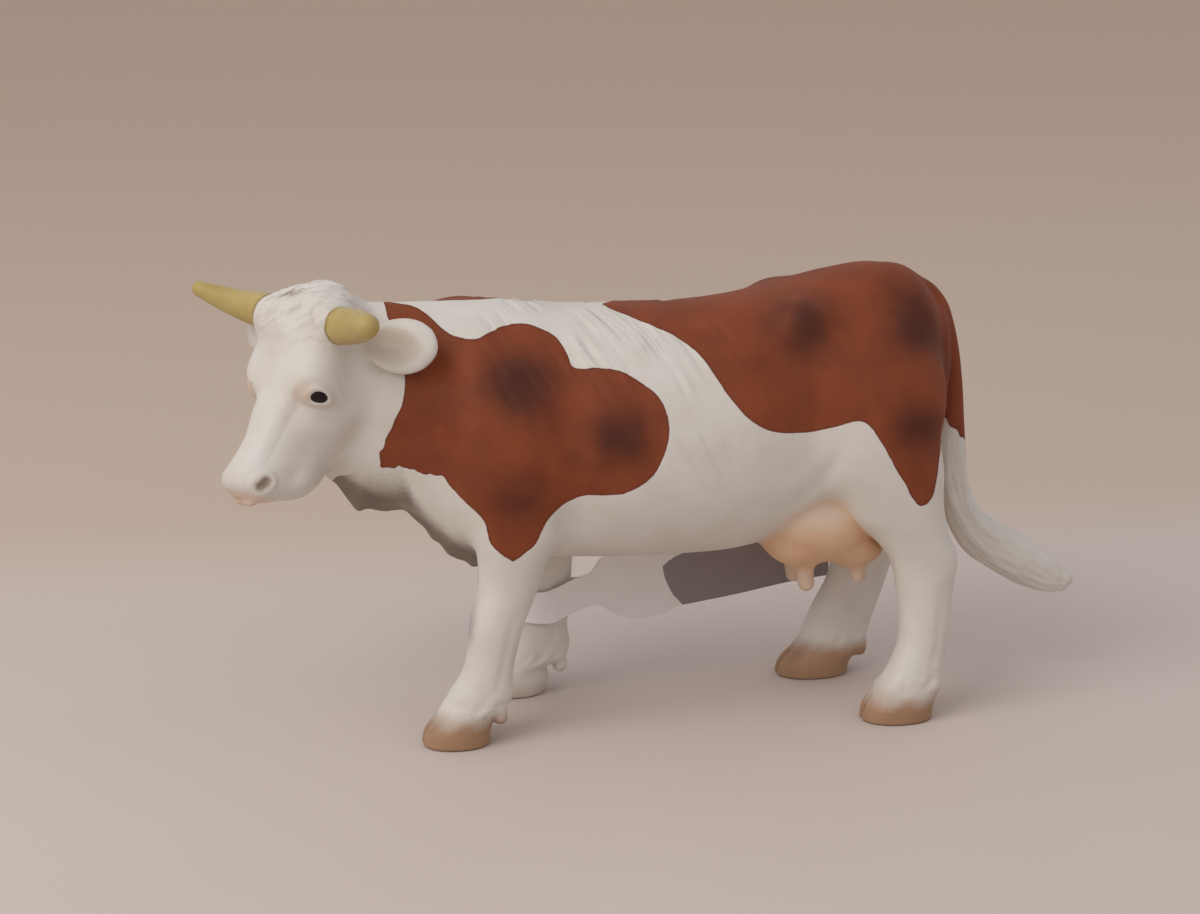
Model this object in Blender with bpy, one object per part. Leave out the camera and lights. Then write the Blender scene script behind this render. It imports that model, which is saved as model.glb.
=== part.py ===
"""Toy farm cow, a solid vinyl figure moulded in sections, with a paper tag looped round its right foreleg.

Metres, +Z up. The cow faces -X and its left flank faces -Y. It stands on its four soles at height zero,
and the origin is under the middle of its bounding box.
Each moulded section is cut from one continuous body form, so neighbours meet at flat parting faces,
with a peg on one section and a socket in the other.
"""

from math import asin, atan2, cos, hypot, pi, radians, sin, sqrt

import bmesh
import bpy
import numpy as np
from mathutils import Matrix, Vector

# Driving dimensions
body_length = 0.0900
withers_height = 0.0685
barrel_width = 0.0366
leg_depth = 0.0086
leg_width = 0.0078
head_length = 0.0370
head_depth = 0.0195
head_width = 0.0172

# How the sections part, and the pegs that hold them together
parting_gap = 0.0003
peg_diameter = 0.0032
peg_length = 0.0040
peg_root = 0.0012
neck_peg_diameter = 0.0080
peg_sides = 16
cut_overrun = 0.0200
cut_reach_share = 3.0

# How finely the melted forms are drawn
body_grain = 0.0011
head_grain = 0.0009
body_triangles = 4400
head_triangles = 1500
smoothing_share = 0.5
smoothing_rounds = 3
ball_sides = 18
ball_bands = 10
sharp_angle = 50.0

X = Vector((1, 0, 0))
Y = Vector((0, 1, 0))
Z = Vector((0, 0, 1))


def remove_everything():
    for old in list(bpy.data.objects):
        bpy.data.objects.remove(old, do_unlink=True)


def new_object(name, bm):
    """Turn a bmesh into an object of the scene."""
    bmesh.ops.recalc_face_normals(bm, faces=bm.faces)
    mesh = bpy.data.meshes.new(name)
    bm.to_mesh(mesh)
    bm.free()
    made = bpy.data.objects.new(name, mesh)
    bpy.context.scene.collection.objects.link(made)
    return made


def loft_into(bm, rings):
    """Skin a row of equal closed rings and close both ends."""
    rows = []
    for ring in rings:
        rows.append([bm.verts.new(point) for point in ring])
    for lower, upper in zip(rows, rows[1:]):
        count = len(lower)
        for index in range(count):
            after = (index + 1) % count
            bm.faces.new((lower[index], lower[after], upper[after], upper[index]))
    bm.faces.new(list(reversed(rows[0])))
    bm.faces.new(rows[-1])


def oval(centre, side, side_half, up, up_half, down_half, sides, roundness=1.0):
    """A closed ring, higher or lower above its centre than below; roundness over 1 makes it boxier."""
    ring = []
    for index in range(sides):
        turn = 2 * pi * index / sides
        across = abs(cos(turn)) ** (1 / roundness) * (1 if cos(turn) >= 0 else -1)
        along = abs(sin(turn)) ** (1 / roundness) * (1 if sin(turn) >= 0 else -1)
        reach = up_half if along >= 0 else down_half
        ring.append(centre + side * (across * side_half) + up * (along * reach))
    return ring


def ball_into(bm, centre, radii, turn):
    """An ellipsoid with the given half sizes along the turned axes."""
    place = Matrix.Translation(centre) @ turn.to_4x4() @ Matrix.Diagonal((*radii, 1))
    bmesh.ops.create_uvsphere(bm, u_segments=ball_sides, v_segments=ball_bands, radius=1, matrix=place)


def block(name, low, high):
    """An upright box between two corners."""
    bm = bmesh.new()
    place = Matrix.Translation((low + high) / 2) @ Matrix.Diagonal((*(high - low), 1))
    bmesh.ops.create_cube(bm, size=1, matrix=place)
    return new_object(name, bm)


def rod(name, start, end, radius):
    """A round rod between two points."""
    axis = (end - start).normalized()
    side = axis.orthogonal().normalized()
    up = axis.cross(side)
    bm = bmesh.new()
    loft_into(bm, [oval(point, side, radius, up, radius, radius, peg_sides) for point in (start, end)])
    return new_object(name, bm)


def half_space(name, point, normal):
    """A large block whose one face lies at the point and which fills the side the normal points to."""
    turn = normal.to_track_quat("Z", "Y").to_matrix().to_4x4()
    reach = cut_reach_share * body_length
    place = Matrix.Translation(point) @ turn @ Matrix.Translation((0, 0, reach / 2))
    bm = bmesh.new()
    bmesh.ops.create_cube(bm, size=1, matrix=place @ Matrix.Diagonal((reach, reach, reach, 1)))
    return new_object(name, bm)


def settle(thing):
    """Fix an object's modifiers into its mesh."""
    depsgraph = bpy.context.evaluated_depsgraph_get()
    mesh = bpy.data.meshes.new_from_object(thing.evaluated_get(depsgraph))
    thing.modifiers.clear()
    thing.data = mesh


def combine(thing, other, operation):
    """Cut, join or intersect one solid with another, which is used up."""
    modifier = thing.modifiers.new("Cut", "BOOLEAN")
    modifier.operation = operation
    modifier.solver = "EXACT"
    modifier.object = other
    settle(thing)
    bpy.data.objects.remove(other, do_unlink=True)


def soften(thing, grain, triangles):
    """Melt overlapping forms into one smooth skin and thin its faces to about the given number."""
    remesh = thing.modifiers.new("Skin", "REMESH")
    remesh.mode = "VOXEL"
    remesh.voxel_size = grain
    smooth = thing.modifiers.new("Soften", "SMOOTH")
    smooth.factor = smoothing_share
    smooth.iterations = smoothing_rounds
    settle(thing)
    found = 2 * len(thing.data.polygons)
    thin = thing.modifiers.new("Thin", "DECIMATE")
    thin.ratio = min(1.0, triangles / found)
    settle(thing)


def copy_of(thing, name):
    made = bpy.data.objects.new(name, thing.data.copy())
    bpy.context.scene.collection.objects.link(made)
    return made


def shade(thing):
    thing.data.shade_smooth()
    thing.data.set_sharp_from_angle(angle=radians(sharp_angle))


def paint(thing, name, colour, roughness):
    """Give an object its own Principled material."""
    material = bpy.data.materials.new(name)
    material.use_nodes = True
    shader = material.node_tree.nodes["Principled BSDF"]
    shader.inputs["Base Color"].default_value = (*colour, 1.0)
    shader.inputs["Roughness"].default_value = roughness
    shader.inputs["Metallic"].default_value = 0.0
    thing.data.materials.clear()
    thing.data.materials.append(material)


# Trunk and neck in one run from the head joint to the buttocks.
# Each row: place along the body, then top, widest height and underside, then half width.
# The place is a share of the body length, heights are shares of the withers height, widths of the barrel.
trunk_shares = [
    (-0.556, 1.005, 0.790, 0.640, 0.190),
    (-0.511, 1.010, 0.785, 0.600, 0.218),
    (-0.467, 1.007, 0.780, 0.560, 0.232),
    (-0.422, 1.004, 0.775, 0.535, 0.252),
    (-0.367, 1.003, 0.760, 0.480, 0.310),
    (-0.311, 1.001, 0.750, 0.420, 0.390),
    (-0.244, 0.997, 0.710, 0.390, 0.430),
    (-0.156, 0.987, 0.680, 0.394, 0.455),
    (-0.044, 0.982, 0.665, 0.392, 0.485),
    (0.067, 0.984, 0.665, 0.395, 0.500),
    (0.178, 0.998, 0.680, 0.406, 0.490),
    (0.267, 1.020, 0.720, 0.440, 0.450),
    (0.356, 1.043, 0.770, 0.500, 0.395),
    (0.444, 1.056, 0.800, 0.560, 0.340),
    (0.511, 1.030, 0.820, 0.610, 0.270),
    (0.550, 0.965, 0.820, 0.670, 0.160),
]
trunk_roundness_share = 1.10
trunk_sides = 28
neck_rows = 4


def trunk_into(bm, rows):
    """The given rows of the trunk as one closed form."""
    rings = []
    for place_share, top_share, wide_share, under_share, half_share in rows:
        middle = Vector((place_share * body_length, 0, wide_share * withers_height))
        rings.append(oval(middle, Y, half_share * barrel_width, Z, (top_share - wide_share) * withers_height,
                          (wide_share - under_share) * withers_height, trunk_sides, trunk_roundness_share))
    loft_into(bm, rings)


# Muscles and bones that show on the trunk: place along it, height and distance out, then half sizes.
# Places and lengths are shares of the body length, heights of the withers height, widths of the barrel.
swelling_shares = [
    (-0.250, 0.660, 0.290, 0.115, 0.225, 0.160),
    (0.280, 0.920, 0.290, 0.100, 0.060, 0.110),
    (0.500, 0.935, 0.130, 0.050, 0.070, 0.110),
    (0.390, 0.660, 0.290, 0.130, 0.200, 0.170),
]


def swellings_into(bm):
    for place_share, height_share, out_share, long_share, tall_share, wide_share in swelling_shares:
        for side in (-1, 1):
            centre = Vector((place_share * body_length, side * out_share * barrel_width,
                             height_share * withers_height))
            radii = (long_share * body_length, wide_share * barrel_width, tall_share * withers_height)
            ball_into(bm, centre, radii, Matrix.Identity(3))


# The dewlap's hanging edge from throat to brisket: shares of the body length and of the withers height
dewlap_thickness = 0.0036
dewlap_root_share = 0.800
dewlap_roundness_share = 2.5
dewlap_sides = 16
dewlap_edge_shares = [
    (-0.545, 0.600),
    (-0.510, 0.560),
    (-0.487, 0.518),
    (-0.445, 0.514),
    (-0.409, 0.522),
    (-0.372, 0.464),
    (-0.334, 0.405),
    (-0.282, 0.366),
    (-0.240, 0.380),
]


def dewlap_into(bm):
    """A thin fold of skin under the throat, run along the body in upright slices."""
    rings = []
    for place_share, edge_share in dewlap_edge_shares:
        middle_share = (edge_share + dewlap_root_share) / 2
        middle = Vector((place_share * body_length, 0, middle_share * withers_height))
        half = (dewlap_root_share - edge_share) / 2 * withers_height
        rings.append(oval(middle, Y, dewlap_thickness / 2, Z, half, half, dewlap_sides,
                          dewlap_roundness_share))
    loft_into(bm, rings)


# Legs, from the shoulder or hip down past the sole, which a flat cut gives them.
# Each row: height and fore and aft place of its middle, then depth and width.
# Depths and widths are shares of the cannon bone's leg depth and leg width.
fore_left_shares = [
    (0.860, -0.250, 1.00, 0.60),
    (0.800, -0.248, 1.60, 1.15),
    (0.730, -0.244, 1.95, 1.50),
    (0.610, -0.240, 1.95, 1.60),
    (0.510, -0.235, 1.65, 1.50),
    (0.438, -0.240, 1.37, 1.32),
    (0.350, -0.251, 1.16, 1.16),
    (0.285, -0.267, 1.08, 1.14),
    (0.220, -0.276, 0.98, 1.04),
    (0.160, -0.286, 1.00, 0.99),
    (0.115, -0.299, 1.14, 1.03),
    (0.070, -0.314, 1.29, 1.12),
    (0.035, -0.331, 1.35, 1.20),
    (0.000, -0.337, 1.36, 1.18),
    (-0.035, -0.337, 1.36, 1.18),
]
fore_right_shares = [
    (0.860, -0.215, 1.00, 0.60),
    (0.800, -0.210, 1.60, 1.15),
    (0.730, -0.202, 1.95, 1.50),
    (0.610, -0.189, 1.95, 1.60),
    (0.510, -0.167, 1.75, 1.50),
    (0.438, -0.153, 1.50, 1.32),
    (0.350, -0.144, 1.16, 1.16),
    (0.285, -0.143, 1.08, 1.12),
    (0.220, -0.143, 1.00, 1.02),
    (0.160, -0.148, 0.98, 0.99),
    (0.115, -0.156, 1.12, 1.03),
    (0.070, -0.172, 1.32, 1.12),
    (0.035, -0.199, 1.36, 1.20),
    (0.000, -0.207, 1.36, 1.18),
    (-0.035, -0.207, 1.36, 1.18),
]
hind_left_shares = [
    (0.960, 0.395, 1.30, 0.60),
    (0.900, 0.402, 2.10, 1.25),
    (0.830, 0.409, 2.60, 1.75),
    (0.750, 0.415, 2.80, 1.98),
    (0.670, 0.415, 2.60, 1.92),
    (0.585, 0.430, 2.20, 1.78),
    (0.510, 0.453, 1.80, 1.52),
    (0.450, 0.477, 1.50, 1.28),
    (0.387, 0.503, 1.30, 1.14),
    (0.307, 0.508, 1.08, 1.03),
    (0.234, 0.508, 0.95, 0.97),
    (0.175, 0.503, 0.92, 0.95),
    (0.117, 0.489, 1.04, 1.00),
    (0.073, 0.476, 1.24, 1.08),
    (0.035, 0.460, 1.35, 1.18),
    (0.000, 0.456, 1.38, 1.16),
    (-0.035, 0.456, 1.38, 1.16),
]
hind_right_shares = [
    (0.960, 0.395, 1.30, 0.60),
    (0.900, 0.400, 2.10, 1.25),
    (0.830, 0.406, 2.60, 1.75),
    (0.750, 0.411, 2.80, 1.98),
    (0.670, 0.408, 2.60, 1.92),
    (0.585, 0.422, 2.25, 1.78),
    (0.510, 0.439, 1.90, 1.52),
    (0.450, 0.456, 1.65, 1.28),
    (0.387, 0.468, 1.50, 1.14),
    (0.307, 0.463, 1.24, 1.03),
    (0.234, 0.452, 1.10, 0.97),
    (0.175, 0.433, 1.10, 0.95),
    (0.117, 0.418, 1.14, 1.00),
    (0.073, 0.404, 1.30, 1.08),
    (0.035, 0.377, 1.38, 1.18),
    (0.000, 0.370, 1.40, 1.16),
    (-0.035, 0.370, 1.40, 1.16),
]
leg_roundness_share = 1.10
leg_sides = 20

# How far each leg stands out from the middle plane, at its top and at its sole
shoulder_spread = 0.0098
hip_spread = 0.0090
fore_left_stance = 0.0120
fore_right_stance = 0.0103
hind_left_stance = 0.0135
hind_right_stance = 0.0105

# Each leg: its rows, its side (-1 left, 1 right), then how far out its top and its sole are
legs = {
    "front_left_leg": (fore_left_shares, -1, shoulder_spread, fore_left_stance),
    "front_right_leg": (fore_right_shares, 1, shoulder_spread, fore_right_stance),
    "hind_left_leg": (hind_left_shares, -1, hip_spread, hind_left_stance),
    "hind_right_leg": (hind_right_shares, 1, hip_spread, hind_right_stance),
}

# The legs part from the trunk just under the belly, outside the hanging fold of the brisket
parting_drop = 0.0008
belly_height = min(row[3] for row in trunk_shares) * withers_height
parting_height = belly_height - parting_drop
brisket_clearance = 0.0012
leg_room_share = 0.25


def leg_into(bm, name):
    """One leg as a stack of level ovals."""
    shares, side, spread, stance = legs[name]
    rings = []
    for height_share, place_share, depth_share, width_share in shares:
        out = stance + (spread - stance) * max(0, height_share) / shares[0][0]
        middle = Vector((place_share * body_length, side * out, height_share * withers_height))
        half_depth = depth_share * leg_depth / 2
        rings.append(oval(middle, Y, width_share * leg_width / 2, X, half_depth, half_depth, leg_sides,
                          leg_roundness_share))
    loft_into(bm, rings)


def leg_at(name, height):
    """The middle of a leg at a height above the floor, with its half depth and half width there."""
    shares, side, spread, stance = legs[name]
    level_share = height / withers_height
    height_shares, place_shares, depth_shares, width_shares = zip(*reversed(shares))
    place_share = float(np.interp(level_share, height_shares, place_shares))
    depth_share = float(np.interp(level_share, height_shares, depth_shares))
    width_share = float(np.interp(level_share, height_shares, width_shares))
    out = stance + (spread - stance) * level_share / shares[0][0]
    middle = Vector((place_share * body_length, side * out, height))
    return middle, depth_share * leg_depth / 2, width_share * leg_width / 2


def leg_space(name, low_height, high_height):
    """The room a leg takes below its parting face, from beside the brisket outwards."""
    side = legs[name][1]
    middle = leg_at(name, parting_height)[0]
    room = leg_room_share * body_length
    walls = sorted((side * (dewlap_thickness / 2 + brisket_clearance), side * barrel_width))
    low = Vector((middle.x - room, walls[0], low_height))
    high = Vector((middle.x + room, walls[1], high_height))
    return block("leg_space", low, high)


# Head, along the nose from the poll: front line and back line, then half width.
# The place along the nose is a share of the head length, the two lines of its depth and the half
# widths of its width.
head_shares = [
    (-0.055, -0.180, -0.520, 0.200),
    (0.000, -0.060, -0.720, 0.380),
    (0.095, 0.030, -0.870, 0.455),
    (0.215, 0.055, -0.975, 0.478),
    (0.350, 0.030, -0.990, 0.488),
    (0.460, -0.030, -0.965, 0.452),
    (0.570, -0.060, -0.870, 0.385),
    (0.675, -0.030, -0.770, 0.330),
    (0.785, 0.060, -0.640, 0.305),
    (0.860, 0.115, -0.480, 0.315),
    (0.910, 0.060, -0.350, 0.270),
    (0.945, -0.050, -0.230, 0.160),
]
head_roundness_share = 1.15
head_sides = 24

# Brow bones, cheeks and the curly topknot: place along the nose, out of the forehead and to the side,
# then half width, half length and half depth, all in the head's own shares
head_swelling_shares = [
    (0.395, -0.150, 0.390, 0.140, 0.108, 0.144),
    (0.420, -0.600, 0.330, 0.188, 0.195, 0.369),
    (0.130, -0.200, 0.120, 0.461, 0.168, 0.318),
]

# Place and carriage of the head: the poll's top in shares of body length and withers height
poll_place_share = -0.581
poll_height_share = 1.060
poll_side = 0.0010
head_turn = 33.0
head_nod = 62.0
head_tilt = 6.0

# The flat face between neck and head: a point on it, its turn to the left and its lean
neck_joint_place_share = -0.488
neck_joint_height_share = 0.790
neck_joint_turn = 27.0
neck_joint_lean = 16.0


def head_axes():
    """The directions down the nose, out of the forehead and to the cow's left."""
    turn = Matrix.Rotation(radians(head_turn), 3, "Z")
    forward = turn @ -X
    tilt = Matrix.Rotation(radians(head_tilt), 3, forward)
    left = tilt @ turn @ -Y
    up = tilt @ Z
    nose = forward * cos(radians(head_nod)) - up * sin(radians(head_nod))
    brow = forward * sin(radians(head_nod)) + up * cos(radians(head_nod))
    return nose, brow, left


def head_point(along_share, out_share, side_share):
    """A place on the head: along the nose, out of the forehead and to the left, in the head's own shares."""
    nose, brow, left = head_axes()
    poll = Vector((poll_place_share * body_length, -poll_side, poll_height_share * withers_height))
    return (poll + nose * (along_share * head_length) + brow * (out_share * head_depth)
            + left * (side_share * head_width))


def head_form():
    """The head with a length of neck behind the jaw, which the parting face trims."""
    nose, brow, left = head_axes()
    bm = bmesh.new()
    rings = []
    for along_share, front_share, back_share, half_share in head_shares:
        middle = head_point(along_share, (front_share + back_share) / 2, 0)
        reach = (front_share - back_share) / 2 * head_depth
        rings.append(oval(middle, left, half_share * head_width, brow, reach, reach, head_sides,
                          head_roundness_share))
    loft_into(bm, rings)
    turned = Matrix((left, nose, brow)).transposed()
    for along_share, out_share, aside_share, wide_share, long_share, deep_share in head_swelling_shares:
        for side in (-1, 1):
            radii = (wide_share * head_width, long_share * head_length, deep_share * head_depth)
            ball_into(bm, head_point(along_share, out_share, side * aside_share), radii, turned)
    trunk_into(bm, trunk_shares[:neck_rows])
    form = new_object("head", bm)
    soften(form, head_grain, head_triangles)
    return form


def neck_joint():
    """A point on the neck's parting face and the direction it faces, towards the head."""
    point = Vector((neck_joint_place_share * body_length, 0, neck_joint_height_share * withers_height))
    lean = Matrix.Rotation(radians(neck_joint_lean), 3, "Y")
    turn = Matrix.Rotation(radians(neck_joint_turn), 3, "Z")
    return point, turn @ lean @ -X


# Horns: they reach out from the head, and sweep forward and up by shares of their length
horn_length = 0.0150
horn_base_diameter = 0.0056
horn_tip_diameter = 0.0024
horn_root = 0.0025
horn_place_share = 0.135
horn_out_share = -0.165
horn_side_share = 0.430
horn_forward_share = 0.40
left_horn_rise_share = -0.08
right_horn_rise_share = 0.12
horn_taper_share = 0.75
horn_steps = 8
horn_sides = 12

# The rounding of a horn's tip starts this share of its length before the end, and ends this thick
horn_tip_start_share = 0.1875
horn_tip_left_share = 0.35


def horn(name, side, growth=0.0):
    """One horn, or its socket when it is grown by the parting gap."""
    nose, brow, left = head_axes()
    base = head_point(horn_place_share, horn_out_share, side * horn_side_share)
    rise = left_horn_rise_share if side > 0 else right_horn_rise_share
    rings = []
    for share in [-horn_root / horn_length] + [step / horn_steps for step in range(horn_steps + 1)]:
        bend = max(0, share) ** 2
        way = left * (side * share) + brow * (bend * horn_forward_share) - nose * (bend * rise)
        taper = (1 - max(0, share)) ** horn_taper_share
        radius = (horn_tip_diameter + (horn_base_diameter - horn_tip_diameter) * taper) / 2
        past = max(0, share - 1 + horn_tip_start_share) / horn_tip_start_share
        radius = radius * max(horn_tip_left_share, sqrt(max(0, 1 - past ** 2))) + growth
        rings.append(oval(base + way * horn_length, brow, radius, nose, radius, radius, horn_sides))
    bm = bmesh.new()
    loft_into(bm, rings)
    return new_object(name, bm)


# Ears: a leaf on a short round root. Each row: place along it, then width and thickness.
ear_length = 0.0130
ear_width = 0.0085
ear_thickness = 0.0046
ear_place_share = 0.165
ear_out_share = -0.470
ear_side_share = 0.450
left_ear_back_share = 0.36
right_ear_back_share = -0.10
ear_droop_share = -0.04
ear_sides = 14
ear_profile_shares = [
    (-0.22, 0.30, 0.50),
    (0.00, 0.42, 0.62),
    (0.15, 0.66, 0.80),
    (0.35, 0.94, 1.00),
    (0.55, 1.00, 0.95),
    (0.75, 0.86, 0.75),
    (0.90, 0.56, 0.50),
    (1.00, 0.16, 0.20),
]

# The hollow in front: its middle along the ear and off its mid-plane, then its half sizes
ear_hollow_middle_share = 0.55
ear_hollow_lift_share = 0.55
ear_hollow_width_share = 0.36
ear_hollow_length_share = 0.40
ear_hollow_depth_share = 0.62


def ear_axes(side):
    """The directions along the ear, out of its hollow and across it, and the middle of its root."""
    nose, brow, left = head_axes()
    back = left_ear_back_share if side > 0 else right_ear_back_share
    out = (left * side - brow * back + nose * ear_droop_share).normalized()
    face = (brow - out * brow.dot(out)).normalized()
    base = head_point(ear_place_share, ear_out_share, side * ear_side_share)
    return out, face, out.cross(face).normalized(), base


def ear_leaf(name, side, growth=0.0):
    out, face, across, base = ear_axes(side)
    rings = []
    for along_share, width_share, thick_share in ear_profile_shares:
        half = thick_share * ear_thickness / 2 + growth
        rings.append(oval(base + out * (along_share * ear_length), across,
                          width_share * ear_width / 2 + growth, face, half, half, ear_sides))
    bm = bmesh.new()
    loft_into(bm, rings)
    return new_object(name, bm)


def ear(name, side):
    out, face, across, base = ear_axes(side)
    made = ear_leaf(name, side)
    middle = (base + out * (ear_hollow_middle_share * ear_length)
              + face * (ear_hollow_lift_share * ear_thickness))
    radii = (ear_hollow_width_share * ear_width, ear_hollow_length_share * ear_length,
             ear_hollow_depth_share * ear_thickness)
    bm = bmesh.new()
    ball_into(bm, middle, radii, Matrix((across, out, face)).transposed())
    combine(made, new_object("ear_hollow", bm), "DIFFERENCE")
    return made


# Udder with four teats, seated in the belly between the hind legs
udder_length = 0.0185
udder_width = 0.0136
udder_height = 0.0125
udder_hang = 0.0045
udder_middle_place_share = 0.335
teat_length = 0.0032
teat_diameter = 0.0030
teat_sides = 8
teat_seat_share = 0.10
teat_side_share = 0.30
teat_place_shares = (-0.24, 0.27)
teat_profile_shares = [
    (0.00, 0.55),
    (0.08, 0.85),
    (0.30, 1.00),
    (0.70, 1.00),
    (1.00, 1.35),
    (1.60, 1.60),
]


def udder_form(name, growth=0.0):
    """The udder, or its socket when it is grown by the parting gap."""
    bottom = belly_height - udder_hang
    middle = Vector((udder_middle_place_share * body_length, 0, bottom + udder_height / 2))
    radii = (udder_length / 2 + growth, udder_width / 2 + growth, udder_height / 2 + growth)
    bm = bmesh.new()
    ball_into(bm, middle, radii, Matrix.Identity(3))
    made = new_object(name, bm)
    low = bottom - teat_length + teat_seat_share * udder_height
    for place_share in teat_place_shares:
        for side in (-1, 1):
            rings = []
            for level_share, size_share in teat_profile_shares:
                centre = Vector((middle.x + place_share * udder_length, side * teat_side_share * udder_width,
                                 low + level_share * teat_length))
                half = size_share * teat_diameter / 2 + growth
                rings.append(oval(centre, X, half, Y, half, half, teat_sides))
            bm = bmesh.new()
            loft_into(bm, rings)
            combine(made, new_object("teat", bm), "UNION")
    return made


# Tail: places are shares of its reach behind the root, heights of the withers height, then thickness
tail_reach = 0.0270
tail_thickness = 0.0036
tail_root_place_share = 0.532
tail_sides = 14
tail_shares = [
    (-0.180, 1.010, 1.10),
    (-0.020, 0.990, 1.15),
    (0.085, 0.930, 1.05),
    (0.150, 0.850, 0.98),
    (0.185, 0.760, 0.94),
    (0.200, 0.670, 0.94),
    (0.215, 0.590, 1.10),
    (0.260, 0.510, 1.40),
    (0.345, 0.440, 1.70),
    (0.480, 0.373, 1.90),
    (0.640, 0.315, 1.85),
    (0.800, 0.270, 1.45),
    (0.920, 0.242, 0.90),
    (1.000, 0.230, 0.36),
]


def tail(name, growth=0.0):
    """The tail, or its socket when it is grown by the parting gap."""
    root = tail_root_place_share * body_length
    points = []
    for out_share, height_share, thick_share in tail_shares:
        points.append(Vector((root + out_share * tail_reach, 0, height_share * withers_height)))
    rings = []
    for before, point, after, row in zip(points[:1] + points, points, points[1:] + points[-1:], tail_shares):
        up = (after - before).cross(Y).normalized()
        half = row[2] * tail_thickness / 2 + growth
        rings.append(oval(point, Y, half, up, half, half, tail_sides))
    bm = bmesh.new()
    loft_into(bm, rings)
    return new_object(name, bm)


# Paper tag: a strap round the right foreleg, a rounded tab and a printed panel, cut from one card
card_thickness = 0.0004
strap_width = 0.0055
strap_run = 0.0088
tab_width = 0.0096
tab_length = 0.0120
panel_width = 0.0085
panel_length = 0.0300
loop_slack = 0.00065
loop_height = 0.0142
tab_height = 0.0180
panel_end_height = 0.0174
hind_leg_clearance = 0.0037
loop_steps = 22
core_share = 0.90
corner_share = 0.20

# The tab swells from the strap, then narrows to the panel: place along it and share of the swelling
tab_rise_shares = [
    (0.00, 0.00),
    (0.10, 0.45),
    (0.24, 0.90),
]
tab_fall_shares = [
    (0.50, 1.00),
    (0.80, 0.82),
    (1.00, 0.00),
]


def loop_radius():
    """The inside of the strap's round part, clear of the leg at every turn."""
    return leg_at("front_right_leg", loop_height)[1] + loop_slack


def tag_axis():
    """The middle of the right foreleg where the strap holds it."""
    return leg_at("front_right_leg", loop_height)[0]


def tag_splay():
    """The turn that takes the card past the outside of the right hind leg."""
    leg, half_depth, half_width = leg_at("hind_right_leg", panel_end_height)
    ahead = leg.x - tag_axis().x
    aside = leg.y + half_width + hind_leg_clearance - tag_axis().y
    return atan2(aside, ahead) + asin(loop_radius() / hypot(ahead, aside))


def strap(name, splay):
    """The strap closes on itself in a drop shape whose point lies where the card starts."""
    radius = loop_radius()
    pinch = Vector((strap_run, -radius, 0))
    start = 2 * atan2(pinch.y, pinch.x) + pi / 2
    end = 3 * pi / 2
    path = []
    for index in range(loop_steps + 1):
        turn = start + (end - start) * index / loop_steps
        out = Vector((cos(turn), sin(turn), 0))
        path.append((out * radius, out))
    # Where the two strands meet, the wall's corner points away from the leg
    away = (pinch.normalized() + X).normalized()
    path.append((pinch, away / max(-away.y, corner_share)))
    bm = bmesh.new()
    rows = []
    for point, out in path:
        climb = (tab_height - loop_height) * (point.x + radius) / (strap_run + radius)
        low = climb - strap_width / 2
        high = climb + strap_width / 2
        corners = ((0, low), (card_thickness, low), (card_thickness, high), (0, high))
        rows.append([bm.verts.new(splay @ (point + out * reach + Z * height)) for reach, height in corners])
    for index, row in enumerate(rows):
        after = rows[(index + 1) % len(rows)]
        for corner in range(4):
            beside = (corner + 1) % 4
            bm.faces.new((row[corner], row[beside], after[beside], after[corner]))
    return new_object(name, bm)


def card(name, splay):
    """The flat tab and panel, a little thinner than the strap so that no faces coincide."""
    middle = -loop_radius() - card_thickness / 2
    half = core_share * card_thickness / 2
    profile = []
    for along_share, swell_share in tab_rise_shares:
        profile.append((strap_run + along_share * tab_length, tab_height,
                        strap_width + (tab_width - strap_width) * swell_share))
    for along_share, swell_share in tab_fall_shares:
        profile.append((strap_run + along_share * tab_length, tab_height,
                        panel_width + (tab_width - panel_width) * swell_share))
    profile.append((strap_run + tab_length + panel_length, panel_end_height, panel_width))
    rings = []
    for along, height, width in profile:
        low = height - loop_height - width / 2
        high = low + width
        corners = ((half, low), (-half, low), (-half, high), (half, high))
        rings.append([splay @ Vector((along, middle + across, level)) for across, level in corners])
    bm = bmesh.new()
    loft_into(bm, rings)
    return new_object(name, bm)


def tag(name):
    """The tag, built about its swing axis."""
    splay = Matrix.Rotation(tag_splay(), 3, "Z")
    made = strap(name, splay)
    combine(made, card("card", splay), "UNION")
    made.location = tag_axis()
    return made


def add_peg(section, other, base, direction, diameter):
    """A peg on one section and its socket in the other."""
    inside = base - direction * peg_root
    peg = rod("peg", inside, base + direction * peg_length, diameter / 2)
    combine(section, peg, "UNION")
    deep = base + direction * (peg_length + parting_gap)
    combine(other, rod("socket", inside, deep, diameter / 2 + parting_gap), "DIFFERENCE")


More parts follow.
